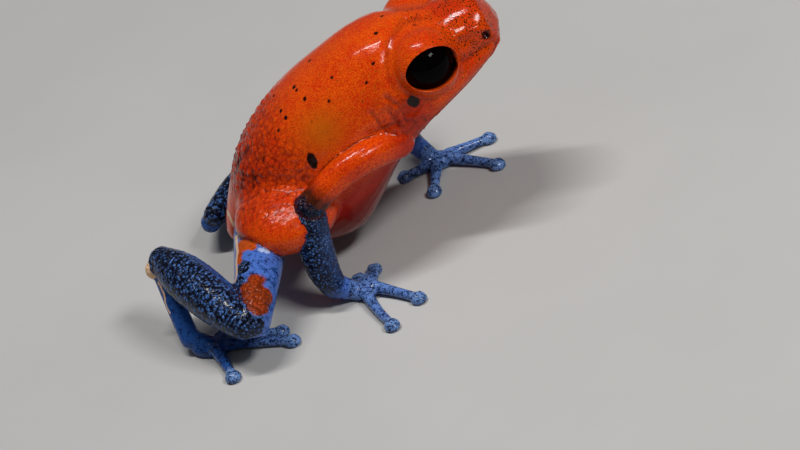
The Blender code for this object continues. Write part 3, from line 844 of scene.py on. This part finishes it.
paw_free = ease(off_paw, 0.1, 0.4)
rear = fade(along, 6.4, 9.6)
neck = CHEEK_SHARE * ease(along, 11.2, 12.6) * fade(up, 1.0, 2.6)
flank = (rear + neck) * fade(off_body, 0.1, 0.4) * fade(along, 14.0, 15.5)
flank = np.clip(flank * ease(places[:, 2], 4.6, 6.6), 0.0, 1.0)
rise = raise_granules("body_granules", size=0.36, height=0.1, weights=flank)
dark_limb = fade(least("forearm", "shank"), 0.05, 0.3) * paw_free * (1.0 - flank)
dark_limb = np.clip(dark_limb, 0.0, 1.0)
rise += raise_granules("limb_granules", size=0.24, height=0.035, weights=dark_limb)
print("granules rise, mm:", rise.min().round(3), rise.max().round(3))

# %% [markdown]
# ## Marks of the skin
# Which parts are orange, blue, granular or pale follows the body, so it is kept as
# numbers on the skin's corners, from 0 to 1, and the material only sharpens and breaks up
# their edges. A picture wrapped round the frog would need its seams hidden; numbers on
# corners have none.

# %% Write the blue and the granular marks onto the skin
# Middles and radii of the patches of granules on the right thigh
ROUGH_THIGH = [(2.1, -7.0, 4.5, 0.45), (1.6, -7.8, 4.1, 0.5), (1.4, -8.8, 3.8, 0.5),
               (1.6, -10.2, 3.1, 0.9), (2.2, -9.2, 3.6, 0.9)]
# Directions in which the painted sheen, a lighter blue, of shank and forearm faces
SHANK_SHEEN_FACING, ARM_SHEEN_FACING = (0.82, 0.34, 0.46), (0.9, -0.3, -0.2)
ARM_SHEEN = 0.2      # strength of the forearm's sheen against the shank's
BLUE_EDGE, GRANULE_EDGE = 0.5, 0.6   # over which one kind of skin passes into the other


def mark(name, values):
    """Store one number per corner under a name that the material reads."""
    layer = skin.data.attributes.new(name, "FLOAT", "POINT")
    layer.data.foreach_set("value", np.asarray(values, np.float32))


def near(spots):
    """0.5 at the edge of balls of x, y, z and radius, and 1 more for each millimetre in."""
    values = np.zeros(len(places))
    for *centre, radius in spots:
        values = np.maximum(values, 0.5 + radius - off_point(places, centre))
    return values


off_orange = np.minimum(off_body, least("upper_arm"))
off_smooth = np.minimum(least("thigh", "tarsus", "ankle", "wrist"), off_paw)
off_dark = least("forearm", "shank")
blue = np.clip(0.5 + (off_orange - np.minimum(off_smooth, off_dark)) / BLUE_EDGE, 0.0, 1.0)
granular = np.clip(0.5 + (off_smooth - off_dark) / GRANULE_EDGE, 0.0, 1.0)
granular = np.maximum(granular, ease(near(ROUGH_THIGH), 0.35, 0.65))
# Painted sheen: a lighter blue on the side of shank and forearm that faces these directions
shank_edge_sheen = ease(outward @ unit(SHANK_SHEEN_FACING), 0.8, 0.98) * fade(least("shank"), 0.0, 0.3)
arm_front_sheen = ease(outward @ unit(ARM_SHEEN_FACING), 0.1, 0.95) * fade(least("forearm"), 0.0, 0.3)
mark("blue", blue)
mark("granular", granular)
mark("sheen", np.maximum(shank_edge_sheen, ARM_SHEEN * arm_front_sheen))
mark("slender", ease(least("shank", "thigh") - least("forearm"), -0.2, 0.2))
mark("paw", 1.0 - paw_free)
mark("disc", fade(to_disc, 0.4, 0.75))
print("blue share of the skin:", round(float((blue > 0.5).mean()), 2))

# %% Write the broad marks onto the skin
ELBOWS = ((6.4, -5.2, 5.6), (11.0, 6.6, 5.3))
DULL_FLANK = (5.8, -4.6, 5.4)             # skin by the right elbow with less gloss
AMBER_PATCH, AMBER_WIDTH = (8.36, 3.46, 8.95), 1.25
# The painted shade in a crevice deepens down to this depth
CREVICE_DEPTH = 0.02                      # at which a crevice is as dark as it gets
FAR_HAND_SHADE = 0.55                     # how much duller the blue is at the left hand

ahead = places[:, 0]
on_thigh = ease(least("tarsus", "shank") - least("thigh"), -0.3, 0.3)
in_front = ease(ahead, 5.6, 6.4) * (1.0 - FAR_HAND_SHADE * ease(ahead, 10.6, 11.6))
mark("bright", np.maximum(on_thigh, in_front))
mark("grain", np.maximum(flank, ease(off_body - least("upper_arm"), -0.2, 0.3)))
mark("rear", fade(along, 4.0, 8.5) * ease(up, 1.4, 3.0) * fade(off_body, 0.1, 0.4))
elbow = np.max([fade(off_point(places, elbow), 0.7, 1.9) for elbow in ELBOWS], axis=0)
on_arm = ease(off_body - least("upper_arm", "forearm"), -0.1, 0.3)
mark("elbow", elbow * on_arm)
mark("dull", fade(off_point(places, DULL_FLANK), 1.2, 2.6) * (1.0 - on_arm))
# Lower on the body the skin turns redder, and darker as painted shade under the body
mark("belly_and_shade", ease(-up, 0.2, 2.8) * fade(off_body, 0.3, 1.2))
x, y, z = AMBER_PATCH
mark("amber", np.max([bell(off_point(places, (x, side * y, z)), AMBER_WIDTH)
                      for side in (-1, 1)], axis=0))
cheek = ease(along, 11.5, 12.8) * fade(along, 13.6, 14.6) * fade(up, 0.2, 1.3)
mark("cheek", np.maximum(drum_red, cheek))
# Painted shade for the crevices, from how far each corner sank between the granules
mark("crevice_shade", np.clip(-rise / CREVICE_DEPTH, 0.0, 1.0))
mark("fold", np.clip(fold, 0.0, 1.0))
print("numbers kept:", len([layer for layer in skin.data.attributes if layer.data_type == "FLOAT"]))

# %% [markdown]
# ## Patches, lines and spots
# On top of the broad colours come small marks: two dark streaks and a stipple on the snout,
# thin pale lines along hip, thigh and heel, rusty patches on thigh and knee, and dark
# spots. Each is a place and a size on this frog, and the corners near it get its number.
# The lines are first laid onto the skin, so that they follow its bulges.

# %% Places of the small marks
STREAKS = [[(16.3, 0.29, 3.63), (16.6, 0.39, 3.46), (16.9, 0.51, 3.27), (17.4, 0.57, 3.02),
            (17.8, 0.52, 2.87)],
           [(16.3, -0.69, 3.61), (16.6, -0.53, 3.43), (17.2, -0.86, 3.05), (17.5, -0.82, 2.9),
            (18.0, -0.83, 2.75)]]
# Half width of a pale line, then its points
CREAM_LINES = [(0.12, [(1.6, -0.07, 4.09), (1.71, -0.79, 4.14), (1.75, -1.14, 3.93),
                       (1.76, -1.32, 3.61)]),
               (0.11, [(1.9, -3.3, 4.3), (1.95, -3.67, 4.4), (1.96, -5.32, 4.6), (1.75, -6.14, 4.4),
                (1.65, -6.97, 4.25), (1.5, -7.2, 3.9)]),
               (0.24, [(-3.3, -3.75, 4.6), (-3.3, -3.85, 4.25), (-3.15, -4.0, 3.85)]),
               (0.06, [(-2.95, -4.1, 3.6), (-2.75, -4.66, 3.07), (-2.81, -4.96, 2.56),
                       (-2.72, -5.34, 2.24)]),
               (0.11, [(4.0, 3.4, 5.2), (5.2, 5.1, 5.2), (6.4, 7.2, 4.6)])]
# Middles and radii of the small spots and of the rusty and pale patches
# The spot at x 18.25, y -1.9 blackens the right nostril: painted shade in its pit
SPOTS = [(7.56, -0.84, 10.53, 0.14), (7.66, -1.2, 10.48, 0.12), (7.97, -2.03, 10.29, 0.13),
         (9.2, -2.8, 10.13, 0.12), (6.66, -2.07, 9.57, 0.13), (8.77, 0.28, 11.13, 0.12),
         (9.73, -2.03, 10.99, 0.1), (12.7, -1.1, 12.18, 0.13), (12.07, -2.52, 11.28, 0.12),
         (11.43, -2.95, 10.53, 0.1), (6.5, -1.5, 9.75, 0.12), (6.05, -2.22, 9.08, 0.12),
         (12.95, -2.33, 11.55, 0.11), (6.27, 0.15, 9.85, 0.12), (14.78, -1.16, 12.01, 0.12),
         (13.25, 0.3, 12.3, 0.12), (12.78, -3.48, 9.43, 0.09), (18.25, -1.9, 10.33, 0.16),
         (8.1, 1.7, 10.45, 0.13), (6.9, 1.4, 9.9, 0.12), (9.6, 2.4, 10.6, 0.12),
         (12.3, 2.3, 11.4, 0.11)]
THIGH_PATCH = [(2.25, -4.95, 4.78, 0.36), (2.6, -5.5, 4.87, 0.5), (2.8, -5.85, 4.85, 0.26),
               (2.1, -5.5, 4.68, 0.34), (1.98, -6.0, 4.6, 0.26), (1.95, -6.35, 4.55, 0.2),
               (5.0, 4.9, 5.2, 0.5), (5.5, 5.5, 5.1, 0.4)]
KNEE_PATCH = [(2.6, -8.1, 4.15, 0.5), (2.4, -8.9, 3.9, 0.78), (2.85, -8.8, 3.5, 0.5),
              (2.4, -9.6, 3.55, 0.6), (1.95, -8.4, 4.15, 0.4), (6.9, 8.2, 4.2, 0.9)]
PALE_PATCH = [(3.3, -6.1, 4.62, 0.2), (3.5, -6.2, 4.45, 0.17), (6.3, 5.7, 4.8, 0.25)]
# Centre and half sizes of the large spots behind the jaw and over the elbow
LARGE_SPOTS = [((13.46, -3.6, 8.87), (0.34, 0.6, 0.38)), ((7.31, -3.81, 7.54), (0.27, 0.6, 0.46)),
               ((13.5, 3.6, 8.95), (0.32, 0.6, 0.34)), ((8.9, 3.7, 8.1), (0.26, 0.6, 0.36))]
print("small spots:", len(SPOTS), "large spots:", len(LARGE_SPOTS))

# %% Write the small marks onto the skin
NEIGHBOURS = 7                    # corners whose middle a point of a line is laid on
LINE_ROWS = 30                    # points of a line that are laid on the skin
HEAD_STIPPLE, STREAK_DARK = 0.25, 0.8
STREAK_WIDTH = 0.22
HEAD_HALF_WIDTH = 4.0             # no stipple lies further out than this


def laid_on(points):
    """Points drawn onto the skin, each to the middle of the corners next to it."""
    path = smooth_keys(points, LINE_ROWS)
    return [places[np.argsort(off_point(places, point))[:NEIGHBOURS]].mean(axis=0)
            for point in path]


def pale_line(wide, line):
    """One along a line on the skin, 0.5 at its edges and zero at twice its half width."""
    return np.clip(1.0 - 0.5 * off_thread(places, laid_on(line), rows=90) / wide, 0.0, 1.0)


mark("cream", np.max([pale_line(wide, line) for wide, line in CREAM_LINES], axis=0))
streaks = [[on_body(*point) for point in streak] for streak in STREAKS]
to_streak = np.min([off_thread(places, streak) for streak in streaks], axis=0)
stipple = ease(along, 15.8, 18.8) * ease(up, -0.3, 0.9) + HEAD_STIPPLE * ease(along, 13.0, 16.0)
stipple = np.clip(stipple + STREAK_DARK * bell(to_streak, STREAK_WIDTH), 0.0, 1.0)
mark("stipple", stipple * (np.abs(out) < HEAD_HALF_WIDTH))
for name, spots in (("thigh_patch", THIGH_PATCH), ("knee_patch", KNEE_PATCH),
                    ("pale", PALE_PATCH), ("spots", SPOTS)):
    mark(name, near(spots))
print("streaks:", len(STREAKS), "pale lines:", len(CREAM_LINES))

# %% [markdown]
# ## From millimetres to metres
# The skin is finished in size and place. Its object is moved so that the footprint's
# middle is the origin, shrunk by a thousand, and both changes are applied to the mesh.

# %% Settle the skin on the frame
def settle(thing):
    """Bring a piece from the frog's millimetres to the frame's metres."""
    alone(thing)
    thing.location = -FOOTPRINT_MIDDLE * MILLIMETRE
    thing.scale = [MILLIMETRE] * 3
    bpy.ops.object.transform_apply(location=True, rotation=True, scale=True)
    bpy.ops.object.shade_smooth()


settle(skin)
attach(skin, "root")
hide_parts(*[name for name in frame["nodes"] if not name.startswith("eye_")])
print("skin triangles:", sum(len(face.vertices) - 2 for face in skin.data.polygons))

# %% [markdown]
# ## Wiring a finish
# A material is a net of small nodes, and wiring them by hand is slow to read in code. The
# class below wraps one output, so that plus, minus and times make the nodes for numbers,
# and one method adds any other node from its settings and the values of its sockets.

# %% A wire that can do sums
class Wire:
    """One output of a node."""

    def __init__(self, socket):
        self.socket = socket

    def node(self, kind, settings, values, output=0):
        """Add a node: its settings first, then the values or links of its sockets."""
        tree = self.socket.id_data
        made = tree.nodes.new(kind)
        for name, value in settings.items():
            setattr(made, name, value)
        for name, value in values.items():
            if isinstance(value, Wire):
                tree.links.new(value.socket, made.inputs[name])
            else:
                made.inputs[name].default_value = value
        return Wire(made.outputs[output])

    def sum(self, operation, *values):
        """A Math node on some values."""
        return self.node("ShaderNodeMath", {"operation": operation}, dict(enumerate(values)))

    def __add__(self, other):
        return self.sum("ADD", self, other)

    def __mul__(self, other):
        return self.sum("MULTIPLY", self, other)

    def __sub__(self, other):
        return self.sum("SUBTRACT", self, other)

    def __rsub__(self, other):
        return self.sum("SUBTRACT", other, self)

    __radd__ = __add__
    __rmul__ = __mul__

    def between(self, low, high):
        """Zero below low, one above high, and smooth between."""
        settings = {"interpolation_type": "SMOOTHSTEP"}
        return self.node("ShaderNodeMapRange", settings, {0: self, 1: low, 2: high})

    def blend(self, first, second):
        """Colour first where this is 0 and second where it is 1."""
        colours = [value if isinstance(value, Wire) else (*value, 1.0)
                   for value in (first, second)]
        return self.node("ShaderNodeMix", {"data_type": "RGBA"},
                         {0: self, 6: colours[0], 7: colours[1]}, 2)

    def beside(self, name):
        """Another output of the same node."""
        return Wire(self.socket.node.outputs[name])

    def feed(self, node, name):
        """Lead this wire into a shader's socket."""
        self.socket.id_data.links.new(self.socket, node.inputs[name])


def new_finish(name):
    """A material's shader node and a wire with its coordinates in millimetres."""
    material = bpy.data.materials.new(name)
    material.use_nodes = True
    tree = material.node_tree
    where = Wire(tree.nodes.new("ShaderNodeTexCoord").outputs["Object"])
    scale = {"Vector": where, "Scale": [1.0 / MILLIMETRE] * 3}
    return material, tree.nodes["Principled BSDF"], where.node("ShaderNodeMapping", {}, scale)


# %% [markdown]
# ## The wet orange and blue skin
# The skin is fine leather under a film of water. Its colour is built from large to small:
# orange over the back, deeper red at the jaw and low on the flank, where it is partly painted
# shade under the body, blue limbs, the thigh's rusty patches, then painted shade in the
# crevices between the granules and at the edges of the pores, spots and a fine black
# stipple on the snout. A bump of the same pores and granules breaks up the gloss.

# %% Colours and patterns of the skin
ORANGE = (0.78, 0.064, 0.001)
# A painted glint
PAINTED_GLINT_ORANGE = (0.92, 0.15, 0.003)
RED_ORANGE = (0.70, 0.036, 0.001)
AMBER = (0.54, 0.11, 0.002)
FLANK_RED = (0.46, 0.015, 0.001)
# The belly's own red, darkened as painted shade
BELLY_RED_AND_SHADE = (0.22, 0.005, 0.001)
CREVICE_SHADE_RED = (0.16, 0.006, 0.001)
# Painted shade for the pressed lines and the creases
LINE_SHADE_BROWN = (0.06, 0.004, 0.001)
SPOT_BROWN = (0.012, 0.002, 0.001)
ELBOW_BROWN = (0.055, 0.010, 0.003)
SKY_BLUE = (0.07, 0.165, 0.55)
SHADE_BLUE = (0.02, 0.09, 0.34)
DEEP_BLUE = (0.012, 0.05, 0.22)
GRANULE_BLUE = (0.06, 0.165, 0.47)
PALE_BLUE = (0.42, 0.52, 0.80)
PAD_BLUE = (0.15, 0.27, 0.56)
INK = (0.002, 0.003, 0.011)
RUST = (0.40, 0.045, 0.003)
RUST_BROWN = (0.075, 0.012, 0.003)
PATCH_ORANGE = (0.50, 0.070, 0.005)
CREAM = (0.82, 0.52, 0.31)

skin_finish, skin_shader, where = new_finish("wet_frog_skin")


def number(name):
    """The numbers stored on the skin's corners under a name."""
    return where.node("ShaderNodeAttribute", {"attribute_name": name}, {}, "Fac")


def cloud(scale, detail=3.0, roughness=0.55):
    """Soft noise from 0 to 1 with features of 1 / scale millimetres."""
    return where.node("ShaderNodeTexNoise", {}, {"Vector": where, "Scale": scale,
                                                 "Detail": detail, "Roughness": roughness})


def grains(scale, warp):
    """Distance to the nearest grain's middle, with grains of about 1 / scale millimetres."""
    push = where.node("ShaderNodeTexNoise", {}, {"Vector": where, "Scale": scale}, "Color")
    pushed = push.node("ShaderNodeVectorMath", {"operation": "MULTIPLY_ADD"},
                       {0: push, 1: (warp / scale,) * 3, 2: where})
    return pushed.node("ShaderNodeTexVoronoi", {"feature": "F1"},
                       {"Vector": pushed, "Scale": scale}, "Distance")


broad, middle, fine, speck = cloud(0.7), cloud(1.8), cloud(4.0), cloud(12.0, 1.0)
pores, granules = grains(7.5, 0.6), grains(6.0, 0.8)
# The sunken edges between the pores' small domes get painted shade
pore_edge_shade = pores.between(0.45, 0.8)
slender = number("slender")
cells = granules + slender * (pores - granules)
granule = 1.0 - cells.between(0.36, 0.62)
chance = granules.beside("Color") * 1.0
chance = chance + slender * (pores.beside("Color") * 1.0 - chance)
print("patterns ready, nodes:", len(skin_finish.node_tree.nodes))

# %% [markdown]
# ## Glazes of orange
# The orange isn't even: it has redder clouds, darker specks, brighter specks that are
# painted glints, an amber patch over each elbow, and deep red on cheek and belly, which on
# the belly is partly painted shade. Crevices and the edges of pores get painted shade. In
# each line a mask, sharpened or weakened, lays one more colour over the mix, as a painter
# lays glazes. One noise alone would look like a camouflage print.

# %% Mix the orange
grain = number("grain")
orange = broad.between(0.45, 0.65).blend(ORANGE, RED_ORANGE)
# Small bright specks as painted glints, most of them on the smooth head
orange = (speck.between(0.5, 0.62) * (0.6 - grain * 0.3)).blend(orange, PAINTED_GLINT_ORANGE)
orange = ((1.0 - speck).between(0.5, 0.64) * (0.55 - grain * 0.2)).blend(orange, FLANK_RED)
orange = (number("amber") * 0.85).blend(orange, AMBER)
orange = (number("cheek") * 0.75).blend(orange, FLANK_RED)
# Towards the underside the red deepens: partly the belly's own red, partly painted shade
belly_and_shade = number("belly_and_shade")
orange = belly_and_shade.between(0.0, 0.5).blend(orange, FLANK_RED)
orange = belly_and_shade.between(0.5, 1.0).blend(orange, BELLY_RED_AND_SHADE)
rear = number("rear")
orange = (rear * 0.55).blend(orange, FLANK_RED)
# Painted shade at the sunken edges of the pores
orange = (pore_edge_shade * (grain * 0.5 + 0.12)).blend(orange, FLANK_RED)
# Painted shade in the crevices between the granules
orange = (number("crevice_shade") * (fine * 1.8 - 0.3)).blend(orange, CREVICE_SHADE_RED)
stipple = (speck + number("stipple") * 0.13).between(0.67, 0.71)
orange = (stipple * 0.92).blend(orange, SPOT_BROWN)
rear_blots = (middle + rear * 0.18).between(0.66, 0.76) * (fine * 1.5) * rear
orange = rear_blots.blend(orange, SPOT_BROWN)
elbow = number("elbow") * (0.5 + middle * 1.2)
orange = elbow.blend(orange, ELBOW_BROWN)
print("orange mixed, nodes:", len(skin_finish.node_tree.nodes))

# %% [markdown]
# ## Blue limbs
# Thighs, tarsi, hands and feet are sky blue with dark blots. Shanks and forearms are nearly
# black and set with blue granules, and every granule is as bright as its grain's random
# number says, so that no two are alike. Rusty and pale patches come on top.

# %% Mix the blues
sky = number("bright").blend(SHADE_BLUE, SKY_BLUE)
sky = (number("paw") * number("bright") * 0.6).blend(sky, PAD_BLUE)
sky = number("disc").blend(sky, PAD_BLUE)
sky = fine.between(0.45, 0.75).blend(sky, DEEP_BLUE)
mottle = (speck * 0.6 + fine * 0.4 + number("paw") * 0.06).between(0.57, 0.61)
sky = (mottle * 0.85).blend(sky, INK)
bright = granule * (chance * chance * (1.6 - slender * 0.4))
dark_limb = bright.blend(INK, GRANULE_BLUE)
# The painted sheen lays a smooth, lighter blue over the dark granules
dark_limb = (number("sheen") * 0.75).blend(dark_limb, sky)
blues = number("granular").between(0.35, 0.65).blend(sky, dark_limb)
ragged = (fine - 0.5) * 0.9
patch = (number("thigh_patch") + ragged * 0.35).between(0.42, 0.54)
blues = patch.blend(blues, fine.between(0.5, 0.8).blend(PATCH_ORANGE, RUST_BROWN))
rust = (granule * 0.5 + chance * 0.6).blend(RUST_BROWN, RUST)
blues = (number("knee_patch") + (middle - 0.5) * 0.5).between(0.42, 0.62).blend(blues, rust)
blues = (number("pale") + ragged * 0.6).between(0.42, 0.56).blend(blues, PALE_BLUE)
blues = (elbow * 0.7).blend(blues, INK)
print("blues mixed, nodes:", len(skin_finish.node_tree.nodes))

# %% Join the colours
edge = (number("blue") + ragged * 0.5).between(0.44, 0.56)
colour = edge.blend(orange, blues)
colour = (number("cream") + ragged * 0.2).between(0.42, 0.52).blend(colour, CREAM)
# Painted shade darkens the pressed lines of the face and the creases
colour = number("fold").between(0.15, 0.9).blend(colour, LINE_SHADE_BROWN)
colour = (number("spots") + ragged * 0.15).between(0.46, 0.54).blend(colour, SPOT_BROWN)
for centre, half in LARGE_SPOTS:
    away = where.node("ShaderNodeVectorMath", {"operation": "SUBTRACT"},
                      {0: where, 1: Vector(centre) - FOOTPRINT_MIDDLE})
    away = away.node("ShaderNodeVectorMath", {"operation": "DIVIDE"}, {0: away, 1: half})
    reach = away.node("ShaderNodeVectorMath", {"operation": "LENGTH"}, {0: away}, "Value")
    colour = (1.15 - reach + ragged * 0.5).between(0.0, 0.3).blend(colour, SPOT_BROWN)
colour.feed(skin_shader, "Base Color")
print("colours joined, nodes:", len(skin_finish.node_tree.nodes))

# %% [markdown]
# ## Gloss and fine relief
# A film of water lies on the skin, so the gloss is sharp everywhere and bends light as water
# does. What is too fine for the mesh, the pores of the body and the domes of the limbs'
# granules, is a bump of a few hundredths of a millimetre. It breaks the gloss into sparks.

# %% Set the gloss and the fine relief
BUMP_HEIGHT = 0.00004   # metres
WATER_IOR = 1.33
(0.09 + fine * 0.12 + number("dull") * 0.1).feed(skin_shader, "Roughness")
dome = 1.0 - cells.between(0.05, 0.65)
limb_relief = dome * number("granular") * edge
body_relief = ((1.0 - pores) * 0.5 + speck * 0.3) * (grain * 0.12 + 0.18)
relief = limb_relief + body_relief
bump = {"Strength": 1.0, "Distance": BUMP_HEIGHT, "Height": relief}
relief.node("ShaderNodeBump", {}, bump).feed(skin_shader, "Normal")
skin_shader.inputs["IOR"].default_value = WATER_IOR
skin.data.materials.clear()
skin.data.materials.append(skin_finish)
print("skin nodes:", len(skin_finish.node_tree.nodes))

# %% [markdown]
# ## The eyes
# The eye is a wet, almost black ball, in which iris and pupil can hardly be told apart. A
# faint brown cloud over the black is all that is left of the iris. The front bulges a
# little, as the clear cornea does. It starts as a ball of rings, whose front corners are
# pulled out, and is a piece of its own in the socket. A gloss weaker than water's keeps it
# as dark as in life.

# %% Model and colour the eyes
EYE_BLACK, EYE_BROWN = (0.0006, 0.0005, 0.0008), (0.0015, 0.0008, 0.0006)
EYE_ROUGHNESS, EYE_IOR = 0.04, 1.12
CORNEA_BULGE = 0.04


def eyeball(side, name):
    """An eye with a bulged front, in its socket."""
    centre, look, long_way = eye_place(side)
    form = ball(name, centre, (EYE_RADIUS,) * 3, long_way, look, segments=64, rings=40)
    corners = corners_of(form)
    front = (corners - centre) @ look / EYE_RADIUS
    corners += (CORNEA_BULGE * ease(front, 0.2, 1.0))[:, None] * look
    place_corners(form, corners)
    settle(form)
    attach(form, "root")
    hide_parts("eye_left" if side > 0 else "eye_right")
    return form


eye_finish, eye_shader, where = new_finish("wet_eye")
cloud(3.0).between(0.3, 0.7).blend(EYE_BLACK, EYE_BROWN).feed(eye_shader, "Base Color")
eye_shader.inputs["Roughness"].default_value = EYE_ROUGHNESS
eye_shader.inputs["IOR"].default_value = EYE_IOR
for side, name in ((-1, "eyeball_right"), (1, "eyeball_left")):
    form = eyeball(side, name)
    form.data.materials.clear()
    form.data.materials.append(eye_finish)
    print(name, "faces:", len(form.data.polygons))

# %% [markdown]
# ## The floor
# The frog sits on a plain pale floor, which is one large square. A faint broad cloud in its
# colour keeps it from looking painted.

# %% Lay the floor
FLOOR_SIZE = 3.0
FLOOR_GREY, FLOOR_PALE = (0.5, 0.49, 0.47), (0.54, 0.53, 0.51)
alone()
bpy.ops.mesh.primitive_plane_add(size=FLOOR_SIZE, location=(0.0, 0.0, 0.0))
floor = bpy.context.object
floor.name = "floor"
floor_finish, floor_shader, where = new_finish("pale_floor")
cloud(0.05).between(0.2, 0.8).blend(FLOOR_GREY, FLOOR_PALE).feed(floor_shader, "Base Color")
floor_shader.inputs["Roughness"].default_value = 0.8
floor.data.materials.append(floor_finish)
print("floor:", FLOOR_SIZE, "m wide")

# %% [markdown]
# ## The lamps
# Wet skin shows its light as streaks, so the shape of a lamp matters as much as its place.
# A soft lamp high in front and to the frog's right lights the side that is seen. A long,
# narrow one above draws the thin streaks on the lid, the snout and the arm, and sparks on the
# granules. A weak, bluish light from all round fills the shadows.

# %% Hang the lamps
STUDIO_TINT, STUDIO_STRENGTH = (0.9, 0.93, 1.0, 1.0), 0.1
FROG_MIDDLE = Vector((0.0, 0.0, 0.006))
# Place, width and height in metres, and power in watts
LAMPS = {"lamp_front": ((0.125, -0.113, 0.195), 0.075, 0.042, 0.3),
         "lamp_above": ((-0.03, 0.01, 0.25), 0.014, 0.12, 0.32)}
scene = bpy.context.scene
scene.view_settings.view_transform = "Standard"
world = bpy.data.worlds.new("studio")
scene.world = world
world.use_nodes = True
background = world.node_tree.nodes["Background"]
background.inputs["Color"].default_value = STUDIO_TINT
background.inputs["Strength"].default_value = STUDIO_STRENGTH


def soft_lamp(name, place, width, height, power):
    """An oblong lamp that faces the frog's middle."""
    lamp = bpy.data.lights.new(name, "AREA")
    lamp.shape = "RECTANGLE"
    lamp.size = width
    lamp.size_y = height
    lamp.energy = power
    holder = bpy.data.objects.new(name, lamp)
    scene.collection.objects.link(holder)
    holder.location = place
    towards = FROG_MIDDLE - Vector(place)
    holder.rotation_euler = towards.to_track_quat("-Z", "Y").to_euler()


for name, settings in LAMPS.items():
    soft_lamp(name, *settings)
print("lamps:", ", ".join(LAMPS))

# %% [markdown]
# ## The camera
# The camera looks down at the frog's right side through a long lens, which hardly shrinks
# what is further off. It is turned about its line of sight, because the animal climbs
# across the picture. Its place comes from the point of the photograph where the vent lies.

# %% Set up the camera
TILT, ROLL, AZIMUTH = (math.radians(angle) for angle in (31.5, 20.5, -4.0))
DISTANCE = 200.0                 # millimetres from the vent
PICTURE_WIDTH, PICTURE_HEIGHT = 800.0, 450.0   # pixels
PIXELS_PER_MM = 18.0
VENT_PIXEL = (223.5, 278.0)
SENSOR_WIDTH = 36.0
side_way = Vector((math.cos(AZIMUTH), -math.sin(AZIMUTH), 0.0))
away = Vector((math.sin(AZIMUTH), math.cos(AZIMUTH), 0.0))
plumb = Vector((0.0, 0.0, 1.0))
upright = away * math.sin(TILT) + plumb * math.cos(TILT)
back = -away * math.cos(TILT) + plumb * math.sin(TILT)
picture_right = math.cos(ROLL) * side_way - math.sin(ROLL) * upright
picture_up = math.sin(ROLL) * side_way + math.cos(ROLL) * upright
place = (picture_right * (PICTURE_WIDTH / 2 - VENT_PIXEL[0]) / PIXELS_PER_MM
         + picture_up * (VENT_PIXEL[1] - PICTURE_HEIGHT / 2) / PIXELS_PER_MM
         + back * DISTANCE - FOOTPRINT_MIDDLE) * MILLIMETRE
lens = bpy.data.cameras.new("camera")
lens.sensor_width = SENSOR_WIDTH
lens.lens = SENSOR_WIDTH * DISTANCE * PIXELS_PER_MM / PICTURE_WIDTH
lens.clip_start = MILLIMETRE
camera = bpy.data.objects.new("camera", lens)
scene.collection.objects.link(camera)
camera.matrix_world = (Matrix.Translation(place)
                       @ axes_matrix(picture_right, picture_up, back).to_4x4())
scene.camera = camera
print("camera height, mm:", round(camera.matrix_world.translation.z * 1000, 1))
